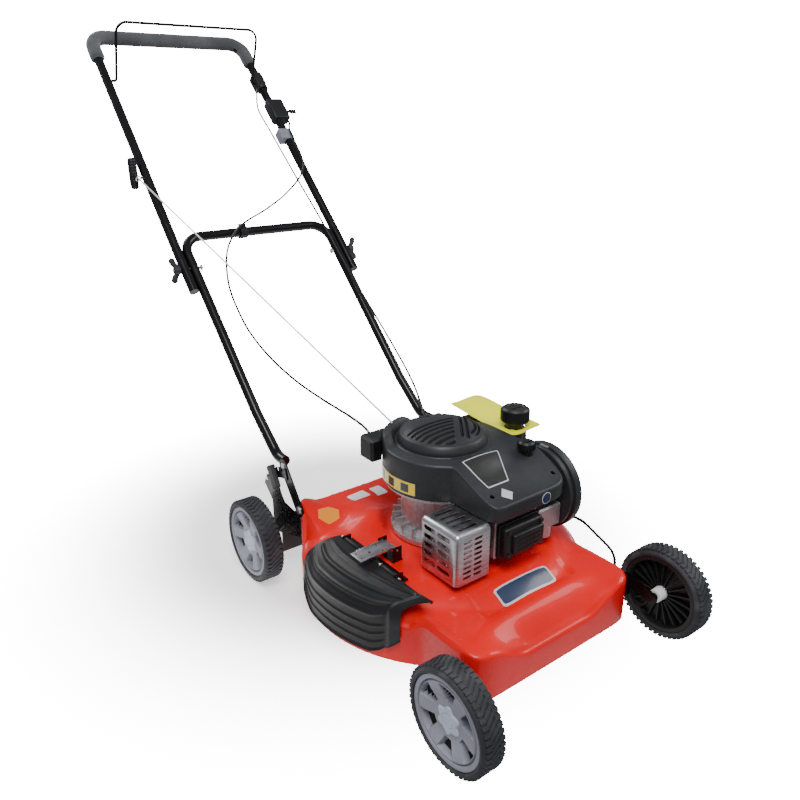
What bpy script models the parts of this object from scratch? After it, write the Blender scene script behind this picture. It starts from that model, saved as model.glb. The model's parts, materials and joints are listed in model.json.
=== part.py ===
"""Walk-behind push lawn mower: steel deck, four-stroke engine, folding handle.

Metres, +Z up.  The front of the mower faces -Y and the handle leans back
towards +Y; the side discharge is at -X, the air filter at +X.  The origin is
on the ground, in the middle of the mower's length and width.
"""
import math

import bmesh
import bpy
from mathutils import Matrix, Vector

# ---------------------------------------------------------------- dimensions
GAP = 0.0003                 # between pieces that touch
RUN = 0.0005                 # radial clearance of a turning fit

# Wheels and their place on the ground
WHEEL_RADIUS = 0.089
WHEEL_WIDTH = 0.044
RIM_RADIUS = 0.0755          # where the tyre seats
WHEEL_SIDES = 24
WHEELBASE = 0.636
TRACK_OUTSIDE = 0.568        # over the outer faces of the tyres
AXLE_HEIGHT = WHEEL_RADIUS * math.cos(math.pi / WHEEL_SIDES)

# Handle, measured from the rear axle
HANDLE_REACH = 0.850         # grip axis behind the rear axle
HANDLE_HEIGHT = 1.104        # grip axis above the ground
TUBE_RADIUS = 0.011
TUBE_WALL = 0.0018
GRIP_RADIUS = 0.0175
LOWER_HALF = 0.193           # centre plane to the axis of a lower leg
FOOT_BACK = 0.0513           # where the straight leg starts, behind the axle
FOOT_HEIGHT = 0.285
BOLT_UP = 0.437              # along the leg, foot to the folding bolt
CROSSBAR_UP = 0.521
UPPER_TAIL = 0.0615          # upper tube past the bolt
BAIL_BACK = 0.145            # bail pivot before the grip axis
BAIL_REACH = 0.137
BAIL_OPEN = math.radians(64)
WIRE_RADIUS = 0.0033
STUD_RADIUS = 0.003

# Engine and deck, measured from the crankshaft
CRANK_BACK = 0.345           # crankshaft behind the front axle
DECK_RADIUS = 0.276
DECK_WALL = 0.002
SKIRT_BOTTOM = 0.047
DECK_TOP = 0.165
SHOULDER_RADIUS = 0.185      # where the round top starts to fall away
SHOULDER_EDGE = 0.100        # height of the round edge
DECK_HOLE = 0.045
FRONT_REACH = 0.321          # crankshaft to the front skirt
FRONT_HALF = 0.2005
PAD_TOP = 0.142
REAR_REACH = 0.223
REAR_HALF = 0.205
REAR_TOP = 0.180
REAR_LEDGE = 0.137           # behind the raised rear, under the axle shaft
BLADE_LENGTH = 0.533
BLADE_WIDTH = 0.055
BLADE_THICK = 0.004
BLADE_BOTTOM = 0.062
SHAFT_RADIUS = 0.0125
ENGINE_BASE = DECK_TOP + 0.0025
DRUM_RADIUS = 0.078
COWL_RADIUS = 0.114
COWL_BOTTOM = 0.275
COWL_TOP = 0.352
COWL_WALL = 0.0025
COWL_HOLE = 0.080
COWL_FRONT = 0.205           # crankshaft to the front face
COWL_LEFT = 0.140
COWL_RIGHT = 0.058
DOME_HEIGHT = 0.033

# Discharge cover, hinged on the deck; V is measured back from the crankshaft
HINGE_X = -0.190
HINGE_Z = DECK_TOP + 0.0105
HINGE_PIN = 0.0025
BARREL = 0.005               # radius of the hinge's barrel
BARREL_FROM = -0.105
BARREL_TO = 0.052
COVER_WALL = 0.0025
COVER_FROM = math.radians(160)
COVER_TO = math.radians(227)
LATCH_X = -0.150
LATCH_V = -0.032
LATCH_Z = HINGE_Z + 0.0135

# Engine fittings
BLOCK_LOW_X = -0.026         # cylinder block, across
BLOCK_HIGH_X = 0.066
HEAD_V = -0.150
ROCKER_V = -0.184
GUARD_LOW = (-0.130, -0.193, ENGINE_BASE + 0.006)
GUARD_HIGH = (-0.0535, -0.093, 0.2725)
FLYWHEEL_Z = COWL_BOTTOM + 0.022
FILTER_X = COWL_LEFT + 0.0025
FILTER_V, FILTER_Z, FILTER_RADIUS = -0.121, 0.254, 0.085
CAP_X, CAP_V, CAP_Z = 0.175, -0.020, 0.350
OIL_X, OIL_V, OIL_Z = 0.106, -0.118, 0.342

# Height adjustment
CRANK_ROD = 0.006            # radius of the axle shafts and stubs
AXLE_OFFSET = 0.056          # shaft to wheel axle, along Y
REAR_SHAFT_Z = 0.150
FRONT_SHAFT_Z = 0.105
LINK_ARM = 0.030
LINK_PIN = 0.003
PLATE = 0.003
LEVER_ANGLE = math.radians(60)
LEVER_LENGTH = 0.112
QUADRANT_RADIUS = 0.105
LINK_RUN_Z = DECK_TOP + 0.0125
SLOT = 0.0065                # play of the link rod's front eye
FLAP_Z = 0.108
FLAP_PIN = 0.003

# Cables, rope and the fittings on the handle
CABLE_RADIUS = 0.0025
ROPE_RADIUS = 0.0019
FITTING_GAP = 0.0008         # between a clamped fitting and its tube
THROTTLE_BACK = 0.245        # fittings before the grip axis
CLAMP_BACK = 0.332
ROPE_BACK = 0.447

# ------------------------------------------------------------ derived places
LENGTH = AXLE_HEIGHT + WHEELBASE + HANDLE_REACH + GRIP_RADIUS
FRONT_AXLE_Y = AXLE_HEIGHT - LENGTH / 2
REAR_AXLE_Y = FRONT_AXLE_Y + WHEELBASE
CRANK_Y = FRONT_AXLE_Y + CRANK_BACK
WHEEL_OUTER = TRACK_OUTSIDE / 2
COVER_EDGE = WHEEL_OUTER - 0.0008
FLAP_Y = CRANK_Y + DECK_RADIUS + 0.0105

FOOT = Vector((0, REAR_AXLE_Y + FOOT_BACK, FOOT_HEIGHT))
GRIP = Vector((0, REAR_AXLE_Y + HANDLE_REACH, HANDLE_HEIGHT))
HANDLE_LENGTH = (GRIP - FOOT).length
UP = (GRIP - FOOT).normalized()
OUT = Vector((0, -UP.z, UP.y))          # off the handle, forwards and up
HANDLE_ANGLE = math.atan2(UP.z, UP.y)
UPPER_HALF = LOWER_HALF + 2 * TUBE_RADIUS + GAP
UPPER_HALF_TOP = UPPER_HALF - 0.009
BAIL_UP = HANDLE_LENGTH - BAIL_BACK
BAIL_INNER = UPPER_HALF_TOP - TUBE_RADIUS - 0.010
THROTTLE_UP = HANDLE_LENGTH - THROTTLE_BACK
CLAMP_UP = HANDLE_LENGTH - CLAMP_BACK
ROPE_UP = HANDLE_LENGTH - ROPE_BACK
SHAFT_TOP = COWL_TOP - 0.01

# Layers outwards from the deck's side wall
BRACKET_X = REAR_HALF + 3 * GAP
AXLE_PLATE_X = BRACKET_X + PLATE + GAP
AXLE_PLATE_T = 0.002
LEVER_X = AXLE_PLATE_X + AXLE_PLATE_T + 0.003
ARM_X = LEVER_X + PLATE + 0.0024
ARM_T = 0.004
REAR_SHAFT_Y = REAR_AXLE_Y - AXLE_OFFSET
FRONT_SHAFT_Y = FRONT_AXLE_Y + AXLE_OFFSET
AXLE_END = WHEEL_OUTER - 0.012


def on_handle(x, up, out=0.0):
    """A point beside the handle: across, along the slope, and off it."""
    return Vector((x, 0, 0)) + FOOT + UP * up + OUT * out


def at_crank(x, v, z):
    """A point measured from the crankshaft's line."""
    return Vector((x, CRANK_Y + v, z))


# ------------------------------------------------------------------- helpers
for old in list(bpy.data.objects):
    bpy.data.objects.remove(old)

PARTS = bpy.data.collections.new("push_lawn_mower")
CUTTERS = bpy.data.collections.new("cutters")
bpy.context.scene.collection.children.link(PARTS)
bpy.context.scene.collection.children.link(CUTTERS)

FINISHES = {
    "red paint": ((0.72, 0.015, 0.012), 0.2, 0.0),
    "black paint": ((0.012, 0.012, 0.013), 0.3, 0.0),
    "black plastic": ((0.02, 0.02, 0.022), 0.45, 0.0),
    "charcoal plastic": ((0.03, 0.033, 0.037), 0.5, 0.0),
    "grey plastic": ((0.32, 0.33, 0.36), 0.5, 0.0),
    "foam": ((0.09, 0.095, 0.1), 0.8, 0.0),
    "rubber": ((0.045, 0.047, 0.05), 0.75, 0.0),
    "zinc steel": ((0.7, 0.7, 0.72), 0.3, 1.0),
    "cast aluminium": ((0.6, 0.6, 0.6), 0.45, 1.0),
    "cord": ((0.85, 0.85, 0.82), 0.8, 0.0),
}


def dress(obj, finish):
    """Name the piece's own material and put it among the parts."""
    colour, rough, metal = FINISHES[finish]
    mat = bpy.data.materials.new(obj.name)
    mat.use_nodes = True
    shader = mat.node_tree.nodes["Principled BSDF"]
    shader.inputs["Base Color"].default_value = (*colour, 1)
    shader.inputs["Roughness"].default_value = rough
    shader.inputs["Metallic"].default_value = metal
    obj.data.materials.clear()
    obj.data.materials.append(mat)
    obj.data.shade_smooth()
    obj.data.set_sharp_from_angle(angle=math.radians(35))
    for holder in list(obj.users_collection):
        holder.objects.unlink(obj)
    PARTS.objects.link(obj)
    return obj


def new_object(name, data):
    obj = bpy.data.objects.new(name, data)
    bpy.context.scene.collection.objects.link(obj)
    return obj


def mesh_object(name, bm):
    mesh = bpy.data.meshes.new(name)
    bm.to_mesh(mesh)
    bm.free()
    return new_object(name, mesh)


def box(name, low, high, bevel=0.0):
    """A box between two corners, with softened edges if asked."""
    bm = bmesh.new()
    bmesh.ops.create_cube(bm, size=1)
    low, high = Vector(low), Vector(high)
    for vert in bm.verts:
        vert.co = Vector(((low[i] + high[i]) / 2 + vert.co[i] * (high[i] - low[i]) for i in range(3)))
    obj = mesh_object(name, bm)
    if bevel:
        soften(obj, bevel)
    return obj


def soften(obj, width, segments=1, angle=40):
    mod = obj.modifiers.new("edges", "BEVEL")
    mod.width = width
    mod.segments = segments
    mod.limit_method = "ANGLE"
    mod.angle_limit = math.radians(angle)
    return obj


def cylinder(name, start, end, radius, sides=20):
    """A round bar between two points."""
    start, end = Vector(start), Vector(end)
    bm = bmesh.new()
    bmesh.ops.create_cone(bm, cap_ends=True, segments=sides, radius1=radius, radius2=radius,
                          depth=(end - start).length)
    turn = (end - start).to_track_quat("Z", "Y").to_matrix().to_4x4()
    bmesh.ops.transform(bm, matrix=Matrix.Translation((start + end) / 2) @ turn, verts=bm.verts)
    return mesh_object(name, bm)


def combine(target, tool, operation):
    """Join or cut with a helper solid, which goes among the cutters."""
    for holder in list(tool.users_collection):
        holder.objects.unlink(tool)
    CUTTERS.objects.link(tool)
    tool.hide_render = True
    tool.display_type = "WIRE"
    mod = target.modifiers.new(operation.lower(), "BOOLEAN")
    mod.operation = operation
    mod.object = tool
    mod.solver = "EXACT"
    return target


def cut(target, *tools):
    for tool in tools:
        combine(target, tool, "DIFFERENCE")
    return target


def join(target, *tools):
    for tool in tools:
        combine(target, tool, "UNION")
    return target


def settle(obj):
    """Give the object the mesh that its modifiers make."""
    bpy.context.view_layer.update()
    mesh = bpy.data.meshes.new_from_object(obj.evaluated_get(bpy.context.evaluated_depsgraph_get()))
    obj.modifiers.clear()
    obj.data = mesh
    return obj


def turned(name, profile, sides):
    """Spin a closed profile of (radius, height) about Z; it runs down its outer side first."""
    mesh = bpy.data.meshes.new(name)
    count = len(profile)
    mesh.from_pydata([(r, 0, z) for r, z in profile], [(i, (i + 1) % count) for i in range(count)], [])
    obj = new_object(name, mesh)
    mod = obj.modifiers.new("spin", "SCREW")
    mod.steps = sides
    mod.render_steps = sides
    mod.use_merge_vertices = True
    mod.merge_threshold = 0.0001
    mod.use_smooth_shade = True
    return obj


def curve_points(name, points, radius, sides=12, caps=True, cyclic=False):
    curve = bpy.data.curves.new(name, "CURVE")
    curve.dimensions = "3D"
    curve.bevel_depth = radius
    curve.bevel_resolution = max((sides - 4) // 2, 0)
    curve.use_fill_caps = caps
    line = curve.splines.new("POLY")
    line.points.add(len(points) - 1)
    for point, place in zip(line.points, points):
        point.co = (*place, 1)
    line.use_cyclic_u = cyclic
    return new_object(name, curve)


def as_mesh(obj):
    """Turn a curve object into a mesh object with welded caps."""
    bpy.context.view_layer.update()
    mesh = bpy.data.meshes.new_from_object(obj.evaluated_get(bpy.context.evaluated_depsgraph_get()))
    bm = bmesh.new()
    bm.from_mesh(mesh)
    bmesh.ops.remove_doubles(bm, verts=bm.verts, dist=0.00001)
    bm.to_mesh(mesh)
    bm.free()
    name = obj.name
    place = obj.matrix_world.copy()
    bpy.data.objects.remove(obj)
    solid = new_object(name, mesh)
    solid.name = name
    solid.matrix_world = place
    return solid


def rod(name, points, radius, sides=10):
    return as_mesh(curve_points(name, points, radius, sides))


def pipe(name, points, radius, wall, sides=10):
    """A bent tube with a real wall and open ends."""
    obj = as_mesh(curve_points(name, points, radius, sides, caps=False))
    mod = obj.modifiers.new("wall", "SOLIDIFY")
    mod.thickness = wall
    mod.offset = -1
    return settle(obj)


def bent(points, radius, steps=4):
    """The same path with each inner corner turned into an arc."""
    points = [Vector(p) for p in points]
    path = [points[0]]
    for before, corner, after in zip(points, points[1:], points[2:]):
        a, b = (before - corner).normalized(), (after - corner).normalized()
        half = a.angle(b) / 2
        reach = min(radius / math.tan(half), 0.49 * min((before - corner).length, (after - corner).length))
        r = reach * math.tan(half)
        centre = corner + (a + b).normalized() * (r / math.sin(half))
        start, end = corner + a * reach - centre, corner + b * reach - centre
        whole = start.angle(end)
        for i in range(steps + 1):
            t = i / steps
            arm = (start * math.sin((1 - t) * whole) + end * math.sin(t * whole)) / math.sin(whole)
            path.append(centre + arm)
    path.append(points[-1])
    return path


def plate(name, outline, thickness, x):
    """A flat plate in the YZ plane: outline of (y, z), its inner face at x."""
    curve = bpy.data.curves.new(name, "CURVE")
    curve.dimensions = "2D"
    curve.fill_mode = "BOTH"
    curve.extrude = abs(thickness) / 2
    line = curve.splines.new("POLY")
    line.points.add(len(outline) - 1)
    for point, (y, z) in zip(line.points, outline):
        point.co = (y, z, 0, 1)
    line.use_cyclic_u = True
    obj = new_object(name, curve)
    obj.matrix_world = Matrix(((0, 0, 1, x + thickness / 2), (1, 0, 0, 0), (0, 1, 0, 0), (0, 0, 0, 1)))
    solid = as_mesh(obj)
    solid.data.transform(solid.matrix_world)
    solid.matrix_world = Matrix.Identity(4)
    return solid


def capsule(start, end, radius, steps=6):
    """Outline of a bar with round ends, as (y, z) points."""
    (y0, z0), (y1, z1) = start, end
    angle = math.atan2(z1 - z0, y1 - y0)
    points = []
    for centre, turn in (((y1, z1), -math.pi / 2), ((y0, z0), math.pi / 2)):
        for i in range(steps + 1):
            a = angle + turn + math.pi * i / steps
            points.append((centre[0] + radius * math.cos(a), centre[1] + radius * math.sin(a)))
    return points


def arc(centre, radius, first, last, steps):
    """Points on a circle, as (y, z)."""
    return [(centre[0] + radius * math.cos(first + (last - first) * i / steps),
             centre[1] + radius * math.sin(first + (last - first) * i / steps)) for i in range(steps + 1)]


def smoothstep(value, low, high):
    t = min(max((value - low) / (high - low), 0), 1)
    return t * t * (3 - 2 * t)


def place_origin(obj, point):
    """Set the object's origin, as a moving piece has it on its axis."""
    point = Vector(point)
    obj.data.transform(Matrix.Translation(-point))
    obj.location = point
    return obj


# --------------------------------------------------------------------- deck
def deck_reach(angle):
    """Distance from the crankshaft to the deck's outline in one direction."""
    c, s = math.cos(angle), math.sin(angle)
    half, reach = (REAR_HALF, REAR_REACH) if s > 0 else (FRONT_HALF, FRONT_REACH)
    corner = 14
    square = ((abs(c) / half) ** corner + (abs(s) / reach) ** corner) ** (-1 / corner)
    blend = 80
    return (DECK_RADIUS ** blend + square ** blend) ** (1 / blend)


def deck_height(x, v):
    """Height of the deck's outer surface above the ground."""
    r = math.hypot(x, v)
    t = min(max((r - SHOULDER_RADIUS) / (DECK_RADIUS - SHOULDER_RADIUS), 0), 1)
    volute = SHOULDER_EDGE + (DECK_TOP - SHOULDER_EDGE) * math.sqrt(max(1 - t * t, 0))
    if v < 0 and abs(x) < FRONT_HALF + 0.002:
        back = v + FRONT_REACH
        crease = 0.085 + 0.048 * smoothstep(abs(x), 0.06, 0.17)
        pad = crease + (PAD_TOP - crease) * smoothstep(back, -0.02, 0.06)
        side = smoothstep(FRONT_HALF - abs(x), -0.02, 0.02)
        return max(volute, 0.128 + (pad - 0.128) * side) if back > 0.03 else pad
    if v > REAR_REACH - 0.0075 and abs(x) < 0.180:
        return REAR_LEDGE
    if v > 0 and abs(x) < REAR_HALF + 0.002:
        lug = 0.012 * smoothstep(abs(x), 0.15, 0.185) * smoothstep(v, 0.16, 0.20)
        volute += (REAR_TOP + lug - volute) * smoothstep(v, 0.105, 0.165)
    # A dome over the way to the discharge
    if r > 0.110:
        volute += 0.034 * (1 - smoothstep(math.hypot(x + 0.098, v - 0.090), 0.012, 0.060))
    return volute


def deck_rings(angle):
    """Radii of the deck's rings in one direction; two follow the raised rear's back edge."""
    out = deck_reach(angle)
    rear = smoothstep(math.sin(angle), 0.76, 0.84)
    back = max(math.sin(angle), 0.7)
    crest = (SHOULDER_RADIUS + out) / 2
    foot = SHOULDER_RADIUS * 0.2 + out * 0.8
    crest += ((REAR_REACH - 0.014) / back - crest) * rear
    foot += ((REAR_REACH - 0.001) / back - foot) * rear
    return [DECK_HOLE, 0.104, 0.145, SHOULDER_RADIUS, crest, foot, foot * 0.25 + out * 0.75, out]


def deck_shell():
    around = 56
    rings = [[] for _ in range(9)]
    bm = bmesh.new()
    for i in range(around):
        angle = 2 * math.pi * i / around
        for ring, r in zip(rings, deck_rings(angle)):
            x, v = r * math.cos(angle), r * math.sin(angle)
            ring.append(bm.verts.new(at_crank(x, v, deck_height(x * 0.999, v * 0.999))))
        rings[-1].append(bm.verts.new((x, CRANK_Y + v, SKIRT_BOTTOM)))
    for inner, outer in zip(rings, rings[1:]):
        for i in range(around):
            j = (i + 1) % around
            bm.faces.new((inner[i], outer[i], outer[j], inner[j]))
    obj = mesh_object("deck_shell", bm)
    mod = obj.modifiers.new("wall", "SOLIDIFY")
    mod.thickness = DECK_WALL
    mod.offset = -1
    # The discharge opening, left of the cover's hinge and above the skirt's lip
    cut(obj, box("chute_cutter", at_crank(-DECK_RADIUS - 0.02, -0.125, SKIRT_BOTTOM + 0.018),
                 at_crank(HINGE_X - 0.012, 0.07, DECK_TOP + 0.02)))
    # Holes for the front shaft
    cut(obj, cylinder("front_shaft_hole", (-0.3, FRONT_SHAFT_Y, FRONT_SHAFT_Z),
                      (0.3, FRONT_SHAFT_Y, FRONT_SHAFT_Z), CRANK_ROD + RUN, 16))
    return dress(obj, "red paint")


# ---------------------------------------------------------- discharge cover


def cover_point(angle, share):
    """The cover's outer surface: over the deck's shoulder, then down its side."""
    c, s = math.cos(angle), math.sin(angle)
    start = -HINGE_X / max(-c, 0.2)
    turn = 0.55
    if share < turn:
        t = share / turn
        r = start + (COVER_EDGE - 0.004 - start) * math.sin(t * math.pi / 2)
        z = 0.118 + (HINGE_Z + 0.003 - 0.118) * math.cos(t * math.pi / 2) ** 0.8
    else:
        t = (share - turn) / (1 - turn)
        r = COVER_EDGE - 0.004 * (1 - t)
        z = 0.118 + (SKIRT_BOTTOM + 0.012 - 0.118) * t
    return at_crank(r * c, r * s, z)


def discharge_cover():
    columns, rows = 14, 9
    bm = bmesh.new()
    grid = []
    for i in range(columns + 1):
        u = i / columns
        angle = COVER_FROM + (COVER_TO - COVER_FROM) * u
        # The lower corners are cut back, so the outline is round
        short = 1 - 0.28 * max(abs(2 * u - 1) - 0.55, 0) ** 1.5 / 0.45 ** 1.5
        slant = math.radians(11) * u
        grid.append([bm.verts.new(cover_point(angle - slant * smoothstep(short * j / rows, 0.1, 0.42),
                                              short * j / rows)) for j in range(rows + 1)])
    for a, b in zip(grid, grid[1:]):
        for j in range(rows):
            bm.faces.new((a[j], b[j], b[j + 1], a[j + 1]))
    bmesh.ops.recalc_face_normals(bm, faces=bm.faces)
    obj = mesh_object("discharge_cover", bm)
    if obj.data.polygons[0].normal.x > 0:
        obj.data.flip_normals()
    mod = obj.modifiers.new("wall", "SOLIDIFY")
    mod.thickness = COVER_WALL
    mod.offset = -1
    barrel = cylinder("cover_barrel", at_crank(HINGE_X, BARREL_FROM, HINGE_Z),
                      at_crank(HINGE_X, BARREL_TO, HINGE_Z), BARREL, 12)
    join(obj, barrel)
    cut(obj, cylinder("cover_bore", at_crank(HINGE_X, -0.2, HINGE_Z), at_crank(HINGE_X, 0.2, HINGE_Z),
                      HINGE_PIN + RUN, 10),
        box("cover_end_front", at_crank(-0.4, -0.3, HINGE_Z - 0.03),
            at_crank(HINGE_X + 0.02, BARREL_FROM, 0.3)),
        box("cover_end_rear", at_crank(HINGE_X - 0.008, BARREL_TO, HINGE_Z - 0.03),
            at_crank(HINGE_X + 0.02, 0.3, 0.3)))
    settle(obj)
    return dress(place_origin(obj, at_crank(HINGE_X, 0, HINGE_Z)), "black plastic")


def hinge_pieces():
    pin = cylinder("cover_hinge_pin", at_crank(HINGE_X, BARREL_FROM - 0.012, HINGE_Z),
                   at_crank(HINGE_X, BARREL_TO + 0.012, HINGE_Z), HINGE_PIN, 10)
    dress(pin, "zinc steel")
    low = DECK_TOP + GAP
    base = box("cover_hinge_bracket", at_crank(HINGE_X + 0.0075, BARREL_FROM - 0.008, low),
               at_crank(HINGE_X + 0.0205, BARREL_TO + 0.008, low + 0.002))
    for end, v in (("front", BARREL_FROM - 0.004), ("rear", BARREL_TO + 0.001)):
        join(base, box(f"hinge_lug_{end}", at_crank(HINGE_X - 0.005, v, low + 0.0003),
                       at_crank(HINGE_X + 0.0125, v + 0.003, HINGE_Z + 0.006)))
    cut(base, cylinder("hinge_lug_hole", at_crank(HINGE_X, -0.2, HINGE_Z), at_crank(HINGE_X, 0.2, HINGE_Z),
                       HINGE_PIN + GAP, 10))
    dress(settle(base), "black paint")


def latch_pieces():
    """A zinc spring plate that holds the cover shut, hinged in a U bracket."""
    low = DECK_TOP + GAP
    bracket = box("latch_bracket", at_crank(LATCH_X - 0.010, LATCH_V - 0.024, low),
                  at_crank(LATCH_X + 0.012, LATCH_V + 0.024, low + 0.002))
    for side in (-1, 1):
        v = LATCH_V + side * 0.0225
        join(bracket, box(f"latch_ear_{side}", at_crank(LATCH_X - 0.009, v - 0.0012, low + 0.0004),
                          at_crank(LATCH_X + 0.010, v + 0.0012, LATCH_Z + 0.006)))
    cut(bracket, cylinder("latch_ear_hole", at_crank(LATCH_X, LATCH_V - 0.05, LATCH_Z),
                          at_crank(LATCH_X, LATCH_V + 0.05, LATCH_Z), 0.002 + RUN, 10))
    dress(settle(bracket), "black paint")
    latch = box("cover_latch", at_crank(LATCH_X - 0.075, LATCH_V - 0.0175, LATCH_Z + 0.0005),
                at_crank(LATCH_X + 0.004, LATCH_V + 0.0175, LATCH_Z + 0.0021))
    join(latch, cylinder("latch_pin", at_crank(LATCH_X, LATCH_V - 0.0255, LATCH_Z),
                         at_crank(LATCH_X, LATCH_V + 0.0255, LATCH_Z), 0.002, 10))
    dress(place_origin(settle(latch), at_crank(LATCH_X, LATCH_V, LATCH_Z)), "zinc steel")


# ------------------------------------------------------------------- engine
def crankcase():
    bore = SHAFT_RADIUS + RUN
    base, top = ENGINE_BASE, COWL_BOTTOM - GAP
    flange = 0.098
    case = turned("crankcase", [
        (COWL_RADIUS - 0.004, top), (COWL_RADIUS - 0.004, top - 0.006), (DRUM_RADIUS + 0.004, top - 0.009),
        (DRUM_RADIUS, top - 0.016), (DRUM_RADIUS, base + 0.022), (DRUM_RADIUS + 0.008, base + 0.010),
        (flange, base + 0.009), (flange, base), (bore + 0.030, base), (bore + 0.028, base - 0.006),
        (bore, base - 0.006), (bore, top)], 28)
    case.location = (0, CRANK_Y, 0)
    settle(case)
    case.data.transform(Matrix.Translation(case.location))
    case.location = (0, 0, 0)
    cylinder_part = box("cylinder_block", at_crank(BLOCK_LOW_X, -0.150, 0.192),
                        at_crank(BLOCK_HIGH_X, -0.040, 0.258))
    join(case, cylinder_part)
    for i in range(3):
        v = -0.100 - 0.018 * i
        join(case, box(f"cooling_fin_{i}", at_crank(BLOCK_LOW_X - 0.006, v - 0.003, 0.1895),
                       at_crank(BLOCK_HIGH_X + 0.006, v, 0.2605)))
    return dress(settle(case), "cast aluminium")


def cylinder_head():
    head = box("cylinder_head", at_crank(BLOCK_LOW_X - 0.006, ROCKER_V + GAP, 0.188),
               at_crank(BLOCK_HIGH_X + 0.006, HEAD_V - GAP, 0.262), 0.002)
    cut(head, cylinder("plug_hole", at_crank(BLOCK_LOW_X - 0.02, -0.168, 0.214),
                       at_crank(BLOCK_LOW_X + 0.004, -0.168, 0.214), 0.0055, 12))
    dress(settle(head), "cast aluminium")
    cover = box("rocker_cover", at_crank(BLOCK_LOW_X - 0.004, -COWL_FRONT - 0.010, 0.192),
                at_crank(BLOCK_HIGH_X + 0.004, ROCKER_V, 0.258), 0.006)
    dress(cover, "black plastic")
    plug = turned("spark_plug", [(0.0048, 0.008), (0.0048, 0.0), (0.0085, -0.0005), (0.0085, -0.020),
                                 (0.006, -0.024), (0.0, -0.024), (0.0, 0.008)], 12)
    plug.matrix_world = (Matrix.Translation(at_crank(BLOCK_LOW_X - 0.0065, -0.168, 0.214))
                         @ Matrix.Rotation(math.radians(90), 4, "Y"))
    dress(plug, "black plastic")


def muffler_pieces():
    """A pressed-steel silencer with a slotted guard round it."""
    wall = 0.0015
    x0, v0, z0 = GUARD_LOW
    x1, v1, z1 = GUARD_HIGH
    past = 0.020
    guard = box("muffler_guard", at_crank(x0, v0, z0 - past), at_crank(x1 + past, v1, z1))
    settle(soften(guard, 0.010, 2))
    inside = box("guard_inside", at_crank(x0 + wall, v0 + wall, z0 - 2 * past),
                 at_crank(x1 + 2 * past, v1 - wall, z1 - wall))
    cut(guard, settle(soften(inside, 0.0085, 2)))
    # It is open towards the engine and below
    cut(guard, box("guard_open_side", at_crank(x1, v0 - past, z0 - 3 * past),
                   at_crank(x1 + 3 * past, v1 + past, z1 + past)),
        box("guard_open_bottom", at_crank(x0 - past, v0 - past, z0 - 3 * past),
            at_crank(x1 + 3 * past, v1 + past, z0)))
    for i in range(4):
        z = z0 + 0.016 + 0.019 * i
        cut(guard, box(f"guard_slot_side_{i}", at_crank(x0 - 0.01, v0 + 0.018, z),
                       at_crank(x0 + 0.01, v1 - 0.018, z + 0.009)),
            box(f"guard_slot_front_{i}", at_crank(x0 + 0.022, v0 - 0.01, z),
                at_crank(x1 - 0.012, v0 + 0.01, z + 0.009)))
    dress(settle(guard), "zinc steel")
    muffler = box("muffler", at_crank(x0 + 0.010, v0 + 0.012, z0 + 0.014),
                  at_crank(BLOCK_LOW_X - 0.038, v1 - 0.012, z1 - 0.012), 0.008)
    join(muffler, cylinder("exhaust_pipe", at_crank(x1 - 0.02, -0.118, 0.240),
                           at_crank(BLOCK_LOW_X - 0.0063, -0.118, 0.240), 0.009, 12))
    dress(settle(muffler), "zinc steel")


def cowl_reach(angle):
    """Distance from the crankshaft to the cowl's side in one direction."""
    c, s = math.cos(angle), math.sin(angle)
    across = COWL_LEFT if c > 0 else COWL_RIGHT
    along = COWL_FRONT if s < 0 else 0.04
    corner = 9
    square = ((abs(c) / across) ** corner + (abs(s) / along) ** corner) ** (-1 / corner)
    if c > 0 and s > -0.62:
        square = min(square, 0.115 / max(-s, 0.2))
    blend = 24
    return (COWL_RADIUS ** blend + square ** blend) ** (1 / blend)


def cowl_height(x, v):
    """Height of the cowl's top: it falls towards the front and rises in a collar behind the starter."""
    r = math.hypot(x, v)
    fall = 0.040 * smoothstep(-v, 0.09, COWL_FRONT + 0.02)
    spread = 0.012 * smoothstep(r, COWL_HOLE, COWL_RADIUS + 0.03)
    turn = math.degrees(math.atan2(v, x))
    collar = smoothstep(r, 0.088, 0.100) * smoothstep(turn, 78, 100) * (1 - smoothstep(turn, 145, 168))
    return COWL_TOP - fall - spread + 0.018 * collar


def cowl():
    around = 40
    rings = [[] for _ in range(6)]
    bm = bmesh.new()
    for i in range(around):
        angle = 2 * math.pi * (i + 0.5) / around
        reach = cowl_reach(angle)
        for ring, r in zip(rings, (COWL_HOLE, 0.088, 0.3 * 0.088 + 0.7 * (reach - 0.006), reach - 0.005)):
            x, v = r * math.cos(angle), r * math.sin(angle)
            ring.append(bm.verts.new(at_crank(x, v, cowl_height(x, v))))
        x, v = reach * math.cos(angle), reach * math.sin(angle)
        rings[4].append(bm.verts.new(at_crank(x, v, cowl_height(x, v) - 0.007)))
        rings[5].append(bm.verts.new(at_crank(x, v, COWL_BOTTOM)))
    for inner, outer in zip(rings, rings[1:]):
        for i in range(around):
            j = (i + 1) % around
            bm.faces.new((inner[i], outer[i], outer[j], inner[j]))
    obj = mesh_object("cowl", bm)
    mod = obj.modifiers.new("wall", "SOLIDIFY")
    mod.thickness = COWL_WALL
    mod.offset = -1
    cut(obj, cylinder("filler_hole", at_crank(OIL_X, OIL_V, 0.2), at_crank(OIL_X, OIL_V, 0.4), 0.0125, 14))
    return dress(settle(obj), "charcoal plastic")


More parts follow.
